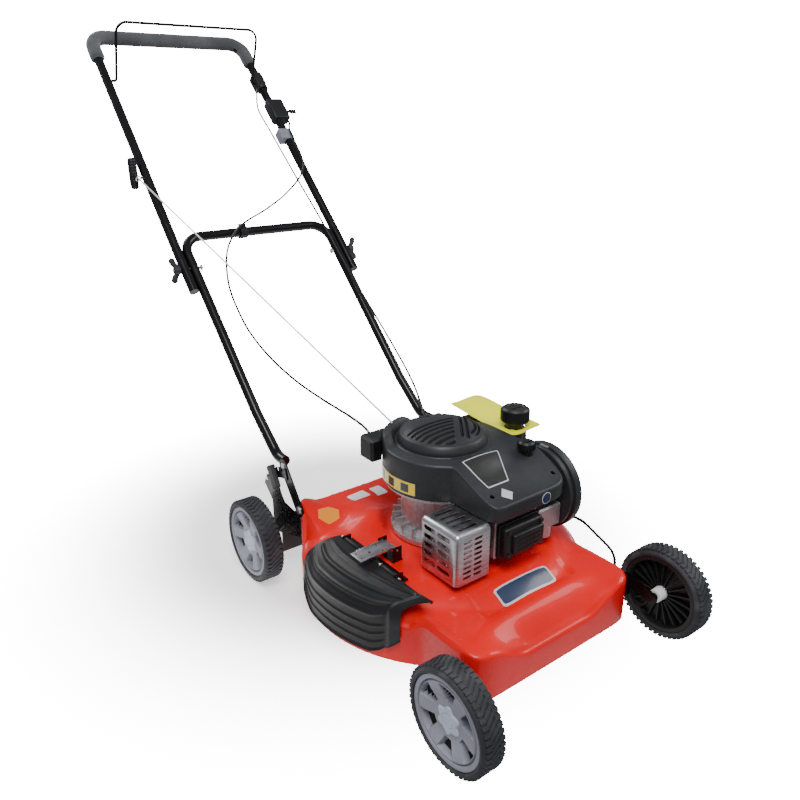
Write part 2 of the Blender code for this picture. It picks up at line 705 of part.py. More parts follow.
def rotor_pieces():
    """What turns with the crankshaft: shaft, flywheel, adapter, blade and bolt."""
    adapter_top = BLADE_BOTTOM + BLADE_THICK + GAP + 0.032
    shaft = turned("crankshaft", [
        (0.006, SHAFT_TOP), (0.006, FLYWHEEL_Z + 0.030), (SHAFT_RADIUS, FLYWHEEL_Z - 0.010),
        (SHAFT_RADIUS, BLADE_BOTTOM + BLADE_THICK + 0.012), (0.004 + GAP, BLADE_BOTTOM + BLADE_THICK + 0.012),
        (0.004 + GAP, adapter_top + 0.010), (0.0, adapter_top + 0.010), (0.0, SHAFT_TOP)], 20)
    fly_bore = SHAFT_RADIUS + GAP
    flywheel = turned("flywheel", [
        (0.070, FLYWHEEL_Z + 0.018), (0.076, FLYWHEEL_Z + 0.014), (0.076, FLYWHEEL_Z),
        (0.055, FLYWHEEL_Z - 0.004),
        (fly_bore, FLYWHEEL_Z - 0.004), (fly_bore, FLYWHEEL_Z + 0.004), (0.018, FLYWHEEL_Z + 0.008),
        (0.060, FLYWHEEL_Z + 0.008)], 24)
    # The bore follows the shaft's shoulder, so the wheel seats below its taper
    adapter = turned("blade_adapter", [
        (0.019, adapter_top), (0.019, BLADE_BOTTOM + BLADE_THICK + 0.010),
        (0.028, BLADE_BOTTOM + BLADE_THICK + 0.006), (0.028, BLADE_BOTTOM + BLADE_THICK + GAP),
        (0.004 + GAP, BLADE_BOTTOM + BLADE_THICK + GAP), (0.004 + GAP, BLADE_BOTTOM + BLADE_THICK + 0.011),
        (SHAFT_RADIUS + GAP, BLADE_BOTTOM + BLADE_THICK + 0.0115), (SHAFT_RADIUS + GAP, adapter_top)], 20)
    bolt = turned("blade_bolt", [
        (0.004, adapter_top + 0.006), (0.004, BLADE_BOTTOM - GAP), (0.011, BLADE_BOTTOM - GAP),
        (0.011, BLADE_BOTTOM - 0.008), (0.0, BLADE_BOTTOM - 0.008), (0.0, adapter_top + 0.006)], 12)
    blade = box("blade", (-BLADE_LENGTH / 2, -BLADE_WIDTH / 2, BLADE_BOTTOM),
                (BLADE_LENGTH / 2, BLADE_WIDTH / 2, BLADE_BOTTOM + BLADE_THICK))
    cut(blade, cylinder("blade_hole", (0, 0, BLADE_BOTTOM - 0.01), (0, 0, BLADE_BOTTOM + 0.02),
                        0.004 + GAP, 12))
    settle(blade)
    for piece, finish in ((shaft, "zinc steel"), (flywheel, "cast aluminium"), (adapter, "cast aluminium"),
                          (bolt, "zinc steel"), (blade, "black paint")):
        piece.location = (0, CRANK_Y, 0)
        dress(piece, finish)


def starter_screen():
    rim = COWL_HOLE + 0.006
    low = COWL_TOP + GAP
    profile = [(rim, low + 0.004), (rim, low), (rim - 0.004, low), (COWL_HOLE - 0.006, low + 0.004)]
    inner = [(COWL_HOLE - 0.010, low + 0.012), (0.052, low + DOME_HEIGHT - 0.009),
             (0.02, low + DOME_HEIGHT - 0.003),
             (0.0, low + DOME_HEIGHT - 0.0025)]
    outer = [(0.0, low + DOME_HEIGHT), (0.02, low + DOME_HEIGHT - 0.0005), (0.054, low + DOME_HEIGHT - 0.006),
             (rim - 0.012, low + 0.018), (rim - 0.004, low + 0.010)]
    screen = turned("starter_screen", profile + inner + outer, 24)
    screen.location = (0, CRANK_Y, 0)
    return dress(screen, "charcoal plastic")


def engine_trim():
    """Air filter, carburettor, tank, caps and the control cover."""
    cover = turned("air_filter_cover", [
        (FILTER_RADIUS - 0.006, 0.030), (FILTER_RADIUS, 0.025), (FILTER_RADIUS, 0.012),
        (FILTER_RADIUS - 0.004, 0.010),
        (FILTER_RADIUS - 0.004, 0.0), (0.0, 0.0), (0.0, 0.030)], 32)
    cover.matrix_world = (Matrix.Translation(at_crank(FILTER_X, FILTER_V, FILTER_Z))
                          @ Matrix.Rotation(math.radians(90), 4, "Y"))
    dress(cover, "charcoal plastic")
    carb = box("carburettor", at_crank(BLOCK_HIGH_X + 0.0063, -0.182, 0.200),
               at_crank(FILTER_X - GAP, -0.152, 0.246), 0.003)
    join(carb, cylinder("float_bowl", at_crank(0.110, -0.167, 0.182), at_crank(0.110, -0.167, 0.204), 0.016,
                        14))
    dress(settle(carb), "cast aluminium")
    tank = box("fuel_tank", at_crank(0.087, -0.032, 0.246), at_crank(0.206, 0.098, CAP_Z - 0.014))
    soften(tank, 0.012, 2)
    cut(tank, cylinder("tank_clearance", at_crank(0, 0, 0.2), at_crank(0, 0, 0.4), COWL_RADIUS + 0.0035, 48),
        box("tank_step", at_crank(0, -0.1, 0.2), at_crank(COWL_LEFT + 0.0025, 0.045, 0.4)))
    join(tank, cylinder("tank_neck", at_crank(CAP_X, CAP_V, CAP_Z - 0.035), at_crank(CAP_X, CAP_V, CAP_Z),
                        0.019, 16))
    dress(settle(tank), "black plastic")
    cap = turned("fuel_cap", [(0.026, 0.030), (0.0295, 0.026), (0.0295, 0.003), (0.028, GAP), (0.0, GAP),
                              (0.0, 0.030)], 20)
    cap.location = at_crank(CAP_X, CAP_V, CAP_Z)
    dress(cap, "black plastic")
    filler = cylinder("oil_filler", at_crank(OIL_X, OIL_V, 0.212), at_crank(OIL_X, OIL_V, OIL_Z), 0.012, 14)
    join(filler, rod("oil_elbow", bent([at_crank(OIL_X, OIL_V, 0.235), at_crank(OIL_X, OIL_V, 0.205),
                                        at_crank(0.066, 0.012, 0.2)], 0.02), 0.009, 10))
    cut(filler, cylinder("filler_clearance", at_crank(0, 0, 0.15), at_crank(0, 0, 0.26), DRUM_RADIUS + GAP,
                         64))
    dress(settle(filler), "black plastic")
    oil_cap = turned("oil_cap", [(0.0145, 0.017), (0.0175, 0.014), (0.0175, GAP), (0.0, GAP), (0.0, 0.017)],
                     16)
    oil_cap.location = at_crank(OIL_X, OIL_V, OIL_Z)
    dress(oil_cap, "black plastic")
    control = box("control_cover", at_crank(-0.122, 0.060, 0.310), at_crank(-0.058, 0.102, 0.357), 0.005)
    cut(control, cylinder("control_clearance", at_crank(0, 0, 0.2), at_crank(0, 0, 0.4),
                          COWL_RADIUS + 0.002, 48))
    dress(settle(control), "black plastic")


# ---------------------------------------------------------- wheels and axles
def wheel_meshes():
    """The tyre and the wheel centre, both turned about Z with the outer face up."""
    w, r = WHEEL_WIDTH / 2, WHEEL_RADIUS
    half = math.pi / WHEEL_SIDES
    seat = RIM_RADIUS
    tyre = turned("tyre_form", [
        (r - 0.006, w), (r, w - 0.007), (r, -w + 0.007), (r - 0.006, -w), (seat, -w), (seat, w)], WHEEL_SIDES)
    rim_seat = seat * math.cos(half) - GAP
    bore = CRANK_ROD + RUN
    inner_end = -(WHEEL_OUTER - w - (ARM_X + ARM_T + 0.0012))
    wheel = turned("wheel_form", [
        (0.024, w - 0.001), (0.028, 0.008), (0.060, 0.006), (0.068, w - 0.003), (rim_seat, w - 0.003),
        (rim_seat, -w + 0.002), (0.066, -w + 0.002), (0.062, -0.002), (0.014, -0.004), (0.014, inner_end),
        (bore, inner_end), (bore, w - 0.0105), (0.0, w - 0.0105), (0.0, w - 0.001)], WHEEL_SIDES)
    for i in range(6):
        turn = math.pi / 3 * (i + 0.5)
        hole = cylinder(f"spoke_gap_{i}", (0.046 * math.cos(turn), 0.046 * math.sin(turn), -0.03),
                        (0.046 * math.cos(turn), 0.046 * math.sin(turn), 0.03), 0.0115, 6)
        cut(wheel, hole)
    return settle(tyre), settle(wheel)


def wheels():
    tyre, wheel = wheel_meshes()
    # Half a facet's turn puts a flat of the tyre on the ground
    level = Matrix.Rotation(math.pi / WHEEL_SIDES, 4, "Z")
    for end, y in (("front", FRONT_AXLE_Y), ("rear", REAR_AXLE_Y)):
        for side, sign in (("right", -1), ("left", 1)):
            face = Matrix.Rotation(sign * math.pi / 2, 4, "Y")
            for form, kind, finish in ((tyre, "tyre", "rubber"), (wheel, "wheel", "grey plastic")):
                obj = new_object(f"{kind}_{end}_{side}", form.data.copy())
                obj.data.transform(face @ level)
                obj.location = (sign * (WHEEL_OUTER - WHEEL_WIDTH / 2), y, AXLE_HEIGHT)
                dress(obj, finish)
    for form in (tyre, wheel):
        bpy.data.objects.remove(form)


def crank_assembly(name, shaft, axle, pins):
    """A shaft across the deck with a plate arm and a stub axle at each end."""
    sy, sz = shaft
    ay, az = axle
    obj = cylinder(name, (-ARM_X - 0.001, sy, sz), (ARM_X + 0.001, sy, sz), CRANK_ROD, 14)
    for side in (-1, 1):
        inner = side * ARM_X if side > 0 else -ARM_X - ARM_T
        join(obj, plate(f"{name}_arm_{side}", capsule(shaft, axle, 0.0115), ARM_T, inner))
        join(obj, cylinder(f"{name}_stub_{side}", (side * (ARM_X + 0.001), ay, az), (side * AXLE_END, ay, az),
                           CRANK_ROD, 14))
    py, pz = pins
    join(obj, plate(f"{name}_link_arm", capsule(shaft, pins, 0.0085), ARM_T - 0.0006, ARM_X + 0.0003))
    join(obj, cylinder(f"{name}_link_pin", (ARM_X + 0.001, py, pz), (LEVER_X - 0.001, py, pz), LINK_PIN, 10))
    return dress(place_origin(settle(obj), (0, sy, sz)), "black paint")


def linkage():
    rear_pin = (REAR_SHAFT_Y, REAR_SHAFT_Z + LINK_ARM)
    front_pin = (FRONT_SHAFT_Y, FRONT_SHAFT_Z - LINK_ARM)
    crank_assembly("rear_axle_crank", (REAR_SHAFT_Y, REAR_SHAFT_Z), (REAR_AXLE_Y, AXLE_HEIGHT), rear_pin)
    crank_assembly("front_axle_crank", (FRONT_SHAFT_Y, FRONT_SHAFT_Z), (FRONT_AXLE_Y, AXLE_HEIGHT), front_pin)
    x = LEVER_X + PLATE / 2
    bar = rod("link_rod", bent([
        (x, rear_pin[0] - 0.010, rear_pin[1]), (x, rear_pin[0] - 0.035, LINK_RUN_Z),
        (x, CRANK_Y - 0.180, LINK_RUN_Z),
        (x, FRONT_SHAFT_Y + 0.029, LINK_RUN_Z - 0.032), (x, FRONT_SHAFT_Y + 0.0235, FRONT_SHAFT_Z - 0.012),
        (x, front_pin[0] + 0.004, front_pin[1] + 0.003)], 0.03, 3), 0.0028, 6)
    join(bar, plate("link_rear_eye", capsule((rear_pin[0] - 0.014, rear_pin[1]), rear_pin, 0.0075), PLATE,
                    LEVER_X),
         plate("link_front_eye", capsule((front_pin[0], front_pin[1] + SLOT), front_pin, 0.0075), PLATE,
               LEVER_X))
    cut(bar, cylinder("link_rear_hole", (x - 0.01, *rear_pin), (x + 0.01, *rear_pin), LINK_PIN + RUN, 12),
        plate("link_front_slot", capsule((front_pin[0], front_pin[1] + SLOT), front_pin, LINK_PIN + 0.0006),
              PLATE + 0.006, LEVER_X - 0.003))
    dress(place_origin(settle(bar), (0, *rear_pin)), "black paint")


def axle_brackets():
    """Side plates that carry the rear shaft; the right one is the height quadrant."""
    sy, sz = REAR_SHAFT_Y, REAR_SHAFT_Z
    shaft = (sy, sz)
    front, rear = sy - 0.045, REAR_AXLE_Y + 0.010
    for name, inner in (("axle_bracket_left", AXLE_PLATE_X), ("height_quadrant",
                                                              -AXLE_PLATE_X - AXLE_PLATE_T)):
        outline = [(front, sz - 0.028), (rear - 0.028, sz - 0.056), (rear, sz - 0.056), (rear, sz + 0.010)]
        if name == "height_quadrant":
            first, last, count = math.radians(22), math.radians(92), 7
            for i in range(count):
                a0 = first + (last - first) * i / count
                a1 = first + (last - first) * (i + 0.62) / count
                outline += arc(shaft, QUADRANT_RADIUS, a0, a1, 1)
                if i < count - 1:
                    a2 = first + (last - first) * (i + 1) / count
                    outline += arc(shaft, QUADRANT_RADIUS - 0.008, a1, a2, 1)
            outline += arc(shaft, QUADRANT_RADIUS - 0.022, last, math.radians(52), 3)
        outline += [(sy + 0.014, sz + 0.026), (front, sz + 0.020)]
        obj = plate(name, outline, AXLE_PLATE_T, inner)
        cut(obj, cylinder(f"{name}_hole", (inner - 0.01, sy, sz), (inner + 0.01, sy, sz), CRANK_ROD + RUN,
                          16),
            cylinder(f"{name}_flap_hole", (inner - 0.01, FLAP_Y, FLAP_Z), (inner + 0.01, FLAP_Y, FLAP_Z),
                     FLAP_PIN + RUN, 12))
        dress(settle(obj), "black paint")


def height_lever():
    sy, sz = REAR_SHAFT_Y, REAR_SHAFT_Z
    inner = -LEVER_X - PLATE
    along = Vector((math.cos(LEVER_ANGLE), math.sin(LEVER_ANGLE)))
    grip_from, grip_to = 0.062, LEVER_LENGTH
    tip = Vector((sy, sz)) + along * (grip_to - 0.012)
    lever = plate("height_lever", capsule((sy, sz), tuple(tip), 0.0085), PLATE, inner)
    cut(lever, cylinder("lever_hole", (inner - 0.01, sy, sz), (inner + 0.01, sy, sz), CRANK_ROD + GAP, 16))
    dress(place_origin(settle(lever), (0, sy, sz)), "black paint")
    start = Vector((sy, sz)) + along * grip_from
    end = Vector((sy, sz)) + along * grip_to
    x = inner + PLATE / 2
    grip = box("lever_grip", (x - 0.0062, -0.012, 0), (x + 0.0042, 0.012, (end - start).length))
    soften(grip, 0.003, 2)
    settle(grip)
    grip.data.transform(Matrix.Translation((0, *start)) @ Matrix.Rotation(LEVER_ANGLE - math.pi / 2, 4, "X"))
    slot = plate("grip_slot", capsule((sy, sz), tuple(tip), 0.0085 + GAP), PLATE + 2 * GAP, inner - GAP)
    cut(grip, slot)
    dress(place_origin(settle(grip), (0, sy, sz)), "grey plastic")


def rear_flap():
    """A trailing shield, hung between the side plates, that keeps feet clear of the blade."""
    half = REAR_HALF - 0.004
    flap = box("rear_flap", (-half, FLAP_Y - 0.0015, 0.036), (half, FLAP_Y + 0.0015, FLAP_Z))
    join(flap, cylinder("flap_barrel", (-half - 0.001, FLAP_Y, FLAP_Z), (half + 0.001, FLAP_Y, FLAP_Z),
                        0.0075, 14),
         cylinder("flap_pin", (-AXLE_PLATE_X - AXLE_PLATE_T - 0.001, FLAP_Y, FLAP_Z),
                  (AXLE_PLATE_X + AXLE_PLATE_T + 0.001, FLAP_Y, FLAP_Z), FLAP_PIN, 10))
    dress(place_origin(settle(flap), (0, FLAP_Y, FLAP_Z)), "black plastic")


# ------------------------------------------------------------------- handle
def handle_brackets():
    """Flat bars from the deck's rear corners up to the handle's feet."""
    foot_bolt = (FOOT.y - 0.092, FOOT.z - 0.027)
    deck_bolt = (CRANK_Y + 0.193, 0.181)
    for side, inner in (("right", -BRACKET_X - PLATE), ("left", BRACKET_X)):
        obj = plate(f"handle_bracket_{side}", capsule(deck_bolt, foot_bolt, 0.0145), PLATE, inner)
        dress(obj, "black paint")


def lower_handle():
    foot_bolt = Vector((0, FOOT.y - 0.092, FOOT.z - 0.027))
    side = []
    for sign in (-1, 1):
        across = Vector((sign * LOWER_HALF, 0, 0))
        side.append([across + foot_bolt + Vector((0, 0.006, 0)), across + foot_bolt + Vector((0, 0.050, 0)),
                     across + FOOT + Vector((0, -0.006, -0.006))])
    corners = [on_handle(-LOWER_HALF, CROSSBAR_UP), on_handle(LOWER_HALF, CROSSBAR_UP)]
    feet = bent(side[0][:2] + [on_handle(-LOWER_HALF, 0.06)], 0.05, 2)[:-1]
    other = bent(side[1][:2] + [on_handle(LOWER_HALF, 0.06)], 0.05, 2)[:-1]
    top = bent([on_handle(-LOWER_HALF, 0.06), *corners, on_handle(LOWER_HALF, 0.06)], 0.045, 4)
    tube = pipe("lower_handle", feet + top + other[::-1], TUBE_RADIUS, TUBE_WALL)
    cut(tube, bolt_hole("lower_bolt_hole"))
    return dress(settle(tube), "black paint")


def bolt_hole(name):
    return cylinder(name, on_handle(-0.3, BOLT_UP), on_handle(0.3, BOLT_UP), STUD_RADIUS + RUN, 12)


def upper_path(from_up):
    """Centre line of the upper handle: legs, corners and the grip bar."""
    return [on_handle(-UPPER_HALF, from_up), on_handle(-UPPER_HALF, BOLT_UP + 0.05),
            on_handle(-UPPER_HALF_TOP, HANDLE_LENGTH), on_handle(UPPER_HALF_TOP, HANDLE_LENGTH),
            on_handle(UPPER_HALF, BOLT_UP + 0.05), on_handle(UPPER_HALF, from_up)]


def upper_handle():
    path = bent(upper_path(BOLT_UP - UPPER_TAIL), 0.055, 4)
    tube = pipe("upper_handle", path, TUBE_RADIUS, TUBE_WALL)
    cut(tube, bolt_hole("upper_bolt_hole"))
    cut(tube, cylinder("bail_hole", on_handle(-UPPER_HALF_TOP, BAIL_UP), on_handle(-0.1, BAIL_UP),
                       WIRE_RADIUS + RUN, 10))
    return dress(place_origin(settle(tube), on_handle(0, BOLT_UP)), "black paint")


def foam_grip():
    """A foam sleeve over the bar and both bends."""
    from_up = HANDLE_LENGTH - 0.079
    narrow = UPPER_HALF_TOP + (UPPER_HALF - UPPER_HALF_TOP) * (HANDLE_LENGTH - from_up) / (
        HANDLE_LENGTH - BOLT_UP - 0.05)
    path = bent(upper_path(BOLT_UP - UPPER_TAIL)[1:-1], 0.055, 4)
    path[0] = on_handle(-narrow, from_up)
    path[-1] = on_handle(narrow, from_up)
    sleeve = pipe("foam_grip", path, GRIP_RADIUS, GRIP_RADIUS - TUBE_RADIUS - GAP)
    return dress(place_origin(sleeve, on_handle(0, BOLT_UP)), "foam")


def wing_knobs():
    """Wing nuts with their studs: they clamp the two handle tubes together."""
    for side, sign in (("right", -1), ("left", 1)):
        inner = UPPER_HALF + TUBE_RADIUS + GAP
        stud = cylinder(f"wing_knob_{side}", on_handle(sign * (LOWER_HALF - TUBE_RADIUS - 0.005), BOLT_UP),
                        on_handle(sign * (inner + 0.005), BOLT_UP), STUD_RADIUS, 12)
        hub = cylinder(f"knob_hub_{side}", on_handle(sign * inner, BOLT_UP),
                       on_handle(sign * (inner + 0.014), BOLT_UP),
                       0.010, 14)
        wing = box(f"knob_wing_{side}", (min(sign * (inner + 0.006), sign * (inner + 0.024)), -0.029,
                                         -0.0035),
                   (max(sign * (inner + 0.006), sign * (inner + 0.024)), 0.029, 0.0035))
        wing.data.transform(Matrix.Translation(on_handle(0, BOLT_UP))
                            @ Matrix.Rotation(HANDLE_ANGLE + math.radians(35), 4, "X"))
        head = cylinder(f"stud_head_{side}", on_handle(sign * (LOWER_HALF - TUBE_RADIUS - 0.0003), BOLT_UP),
                        on_handle(sign * (LOWER_HALF - TUBE_RADIUS - 0.0033), BOLT_UP), 0.0065, 12)
        join(stud, hub, wing, head)
        dress(place_origin(settle(stud), on_handle(sign * inner, BOLT_UP)), "grey plastic")


def bail_lever():
    """The wire held against the grip to let the engine run; it springs open."""
    reach = UP * math.cos(BAIL_OPEN) + OUT * math.sin(BAIL_OPEN)
    pivot = on_handle(0, BAIL_UP)
    left_in = BAIL_INNER
    side = Vector((left_in, 0, 0))
    near_right = pivot - side
    near_left = pivot + side
    tip_right = near_right + reach * BAIL_REACH
    tip_left = near_left + reach * BAIL_REACH
    path = bent([pivot - Vector((left_in + 0.012, 0, 0)), near_right, tip_right, tip_left, near_left,
                 pivot + Vector((left_in + 0.009, 0, 0))], 0.026, 4)
    wire = rod("bail_lever", path, WIRE_RADIUS, 8)
    return dress(place_origin(wire, pivot), "black paint")


def bail_tube_half(up):
    """Centre plane to the axis of an upper leg at this height."""
    share = (up - BOLT_UP - 0.05) / (HANDLE_LENGTH - BOLT_UP - 0.05)
    return UPPER_HALF + (UPPER_HALF_TOP - UPPER_HALF) * share


def handle_fittings():
    """Bail bracket, throttle, cable clamp, clip and rope guide, each clamped on a tube."""
    def clamp_box(name, up_from, up_to, x_from, x_to, out_from, out_to, bore_x, bevel=0.002):
        obj = box(name, (x_from, up_from, out_from), (x_to, up_to, out_to))
        settle(soften(obj, bevel, 1))
        obj.data.transform(SLOPE)
        cut(obj, cylinder(f"{name}_bore", on_handle(bore_x, up_from - 0.05), on_handle(bore_x, up_to + 0.05),
                          TUBE_RADIUS + FITTING_GAP, 16))
        return obj

    half = bail_tube_half(BAIL_UP)
    inner = half - TUBE_RADIUS - 0.006
    bracket = clamp_box("bail_bracket", BAIL_UP - 0.024, BAIL_UP + 0.030, inner, half + TUBE_RADIUS + 0.005,
                        -0.016, 0.016, half)
    cut(bracket, cylinder("bail_socket", on_handle(inner - 0.01, BAIL_UP), on_handle(half, BAIL_UP),
                          WIRE_RADIUS + RUN, 10))
    dress(place_origin(settle(bracket), on_handle(0, BOLT_UP)), "black plastic")

    up = THROTTLE_UP
    half = bail_tube_half(up)
    face = half + 0.034
    housing = clamp_box("throttle_housing", up - 0.034, up + 0.034, half - TUBE_RADIUS - 0.003, face,
                        -0.016, 0.016, half, 0.004)
    slot = box("throttle_slot", (half + 0.0165, up - 0.026, -0.0025), (face + 0.01, up + 0.026, 0.0025))
    slot.data.transform(SLOPE)
    cut(housing, slot)
    dress(place_origin(settle(housing), on_handle(0, BOLT_UP)), "black plastic")
    lever = box("throttle_lever", (half + 0.018, up - 0.004, -0.0015), (face + 0.024, up + 0.004, 0.0015))
    thumb = box("throttle_thumb", (face + 0.018, up - 0.006, -0.003),
                (WHEEL_OUTER - 0.005, up + 0.006, 0.003))
    for piece in (lever, thumb):
        piece.data.transform(SLOPE)
    join(lever, thumb)
    dress(place_origin(settle(lever), on_handle(half + 0.0225, up)), "black plastic")

    up = CLAMP_UP
    half = bail_tube_half(up)
    clamp = clamp_box("cable_clamp", up - 0.017, up + 0.017, half - TUBE_RADIUS - 0.014,
                      half + TUBE_RADIUS + 0.003,
                      -0.014, 0.014, half, 0.002)
    dress(place_origin(settle(clamp), on_handle(0, BOLT_UP)), "grey plastic")

    clip_x = -0.039
    centre = on_handle(clip_x, CROSSBAR_UP)
    clip = cylinder("cable_clip", centre - Vector((0.009, 0, 0)), centre + Vector((0.009, 0, 0)),
                    TUBE_RADIUS + 0.004, 16)
    ear = box("clip_ear", (-0.0075, -0.005, 0.008), (0.0075, 0.005, 0.020))
    ear.data.transform(Matrix.Translation(centre))
    join(clip, ear)
    cut(clip, cylinder("clip_bore", centre - Vector((0.05, 0, 0)), centre + Vector((0.05, 0, 0)),
                       TUBE_RADIUS + FITTING_GAP, 16))
    dress(settle(clip), "black plastic")

    half = bail_tube_half(ROPE_UP)
    eye = on_handle(-half - TUBE_RADIUS - 0.0095, ROPE_UP)
    guide = turned("rope_guide", [(0.0072, 0.002), (0.0072, -0.002), (0.0042, -0.002), (0.0042, 0.002)], 14)
    guide.matrix_world = Matrix.Translation(eye) @ ROPE_DIRECTION.to_track_quat("Z", "Y").to_matrix().to_4x4()
    settle(guide)
    stem = rod("guide_stem", [on_handle(-half - TUBE_RADIUS - 0.0005, ROPE_UP), eye + Vector((0.0058, 0,
                                                                                              0))], 0.0018, 8)
    guide.data.transform(guide.matrix_world)
    guide.matrix_world = Matrix.Identity(4)
    join(guide, stem)
    dress(place_origin(settle(guide), on_handle(0, BOLT_UP)), "zinc steel")


SLOPE = Matrix(((1, 0, 0, 0), (0, UP.y, OUT.y, FOOT.y), (0, UP.z, OUT.z, FOOT.z), (0, 0, 0, 1)))
ROPE_START = at_crank(-0.060, 0.078, COWL_TOP + 0.020)
ROPE_EYE = on_handle(-bail_tube_half(ROPE_UP) - TUBE_RADIUS - 0.0095, ROPE_UP)
ROPE_DIRECTION = (ROPE_EYE - ROPE_START).normalized()


def starter_pieces():
    """The pull grip parked at its guide, and the rope back to the starter."""
    hub = ROPE_EYE + ROPE_DIRECTION * 0.010
    tall = Vector((0, 0.05, 1)).normalized()
    grip = cylinder("starter_grip", hub + ROPE_DIRECTION * 0.012 - tall * 0.036,
                    hub + ROPE_DIRECTION * 0.012 + tall * 0.036, 0.0105, 12)
    join(grip, cylinder("grip_neck", hub - ROPE_DIRECTION * 0.004, hub + ROPE_DIRECTION * 0.010, 0.006, 10))
    cut(grip, cylinder("grip_rope_hole", hub - ROPE_DIRECTION * 0.03, hub + ROPE_DIRECTION * 0.006,
                       ROPE_RADIUS + GAP, 8))
    dress(place_origin(settle(grip), hub), "black plastic")
    steps = 8
    start = ROPE_START
    end = hub + ROPE_DIRECTION * 0.004
    points = [start + (end - start) * i / steps for i in range(steps + 1)]
    dress(rod("starter_rope", points, ROPE_RADIUS, 8), "cord")


def smooth_route(points, per=4):
    """Points on a smooth curve through the route's own points."""
    points = [Vector(p) for p in points]
    ends = [2 * points[0] - points[1]] + points + [2 * points[-1] - points[-2]]
    path = []
    for a, b, c, d in zip(ends, ends[1:], ends[2:], ends[3:]):
        for i in range(per):
            t = i / per
            path.append(0.5 * (2 * b + (c - a) * t + (2 * a - 5 * b + 4 * c - d) * t * t
                               + (3 * b - a - 3 * c + d) * t ** 3))
    path.append(points[-1])
    return path


THROTTLE_ROUTE = [
    on_handle(0.232, 0.8615, 0.006), on_handle(0.225, 0.840, 0.020), on_handle(0.2075, 0.804, 0.029),
    on_handle(0.203, 0.715, 0.029), on_handle(0.189, 0.676, 0.029), on_handle(0.155, 0.639, 0.029),
    on_handle(0.095, 0.595, 0.029), on_handle(0.028, 0.558, 0.029), on_handle(-0.038, 0.528, 0.028),
    (-0.070, 0.322, 0.660), (-0.099, 0.300, 0.633), (-0.120, 0.270, 0.605), (-0.142, 0.219, 0.564),
    (-0.153, 0.163, 0.524), (-0.157, 0.100, 0.483), (-0.151, 0.026, 0.444), (-0.137, -0.052, 0.411),
    (-0.120, -0.128, 0.388), (-0.104, -0.201, 0.371), (-0.094, -0.238, 0.357), (-0.090, -0.2590, 0.342)]
BRAKE_ROUTE = [
    on_handle(0.190, 0.9725, 0.012), on_handle(0.174, 0.950, 0.018), on_handle(0.152, 0.890, 0.019),
    on_handle(0.155, 0.821, 0.019), on_handle(0.160, 0.743, 0.019), on_handle(0.165, 0.653, 0.020),
    on_handle(0.174, 0.526, 0.021), on_handle(0.180, 0.388, 0.022), on_handle(0.180, 0.297, 0.030),
    on_handle(0.180, 0.139, 0.048), (0.165, -0.060, 0.350), (0.125, -0.150, 0.315), (0.085, -0.222, 0.301),
    (0.0645, -0.2612, 0.299)]


def cables():
    for name, route in (("throttle_cable", THROTTLE_ROUTE), ("brake_cable", BRAKE_ROUTE)):
        dress(rod(name, smooth_route(route, 2), CABLE_RADIUS, 6), "black plastic")


deck_shell()
discharge_cover()
hinge_pieces()
latch_pieces()
crankcase()
cylinder_head()
muffler_pieces()
cowl()
rotor_pieces()
starter_screen()
engine_trim()
wheels()
linkage()
axle_brackets()
height_lever()
rear_flap()
handle_brackets()
lower_handle()
upper_handle()
foam_grip()
wing_knobs()
bail_lever()
handle_fittings()
starter_pieces()
cables()
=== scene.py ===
# %% [markdown]
# # A walk-behind petrol mower
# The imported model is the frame: every body, joint and fixing place comes from it.
# This lesson dresses that frame. Pressed sheet, moulded plastic, foam and rope
# are each built the way the real piece is made, then ride on a body of the frame.

# %% Load the frame
import json
import math

import bmesh
import bpy
from mathutils import Matrix, Vector


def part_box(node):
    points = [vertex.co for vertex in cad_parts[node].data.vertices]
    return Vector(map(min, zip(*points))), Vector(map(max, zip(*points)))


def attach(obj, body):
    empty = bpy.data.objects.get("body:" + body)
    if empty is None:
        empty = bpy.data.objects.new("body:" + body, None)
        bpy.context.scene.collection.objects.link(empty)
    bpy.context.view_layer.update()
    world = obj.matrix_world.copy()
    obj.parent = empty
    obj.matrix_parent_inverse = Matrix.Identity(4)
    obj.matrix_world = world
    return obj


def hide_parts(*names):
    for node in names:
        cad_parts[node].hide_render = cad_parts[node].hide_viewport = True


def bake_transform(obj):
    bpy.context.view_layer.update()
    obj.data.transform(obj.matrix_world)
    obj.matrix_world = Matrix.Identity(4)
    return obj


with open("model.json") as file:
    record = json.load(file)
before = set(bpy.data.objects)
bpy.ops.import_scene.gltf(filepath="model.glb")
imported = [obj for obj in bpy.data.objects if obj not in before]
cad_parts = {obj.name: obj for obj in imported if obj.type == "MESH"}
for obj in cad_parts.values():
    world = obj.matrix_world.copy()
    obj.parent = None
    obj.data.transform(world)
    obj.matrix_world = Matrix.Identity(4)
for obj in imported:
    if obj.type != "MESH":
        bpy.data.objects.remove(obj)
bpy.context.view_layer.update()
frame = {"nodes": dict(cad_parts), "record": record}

# %% [markdown]
# ## Camera, floor and light
# The camera stands at the front right corner, a little above the engine, and
# looks down at about 21 degrees. One broad soft light from above and two weak
# ones keep the glossy paint readable. The floor thins out to a white backdrop,
# so the mower stands on its own soft shadow.

# %% Camera
CAMERA_AT = (-0.8718, -1.36645, 0.9368)
LOOK_DOWN, LOOK_ROUND = 20.94, -37.52
camera_data = bpy.data.cameras.new("camera")
camera_data.lens = 34.29
camera_data.sensor_width = 36.0
camera_data.clip_end = 60.0
camera = bpy.data.objects.new("camera", camera_data)
camera.location = CAMERA_AT
camera.rotation_euler = (math.radians(90 - LOOK_DOWN), 0.0, math.radians(LOOK_ROUND))
bpy.context.scene.collection.objects.link(camera)
bpy.context.scene.camera = camera
print("camera at", CAMERA_AT)

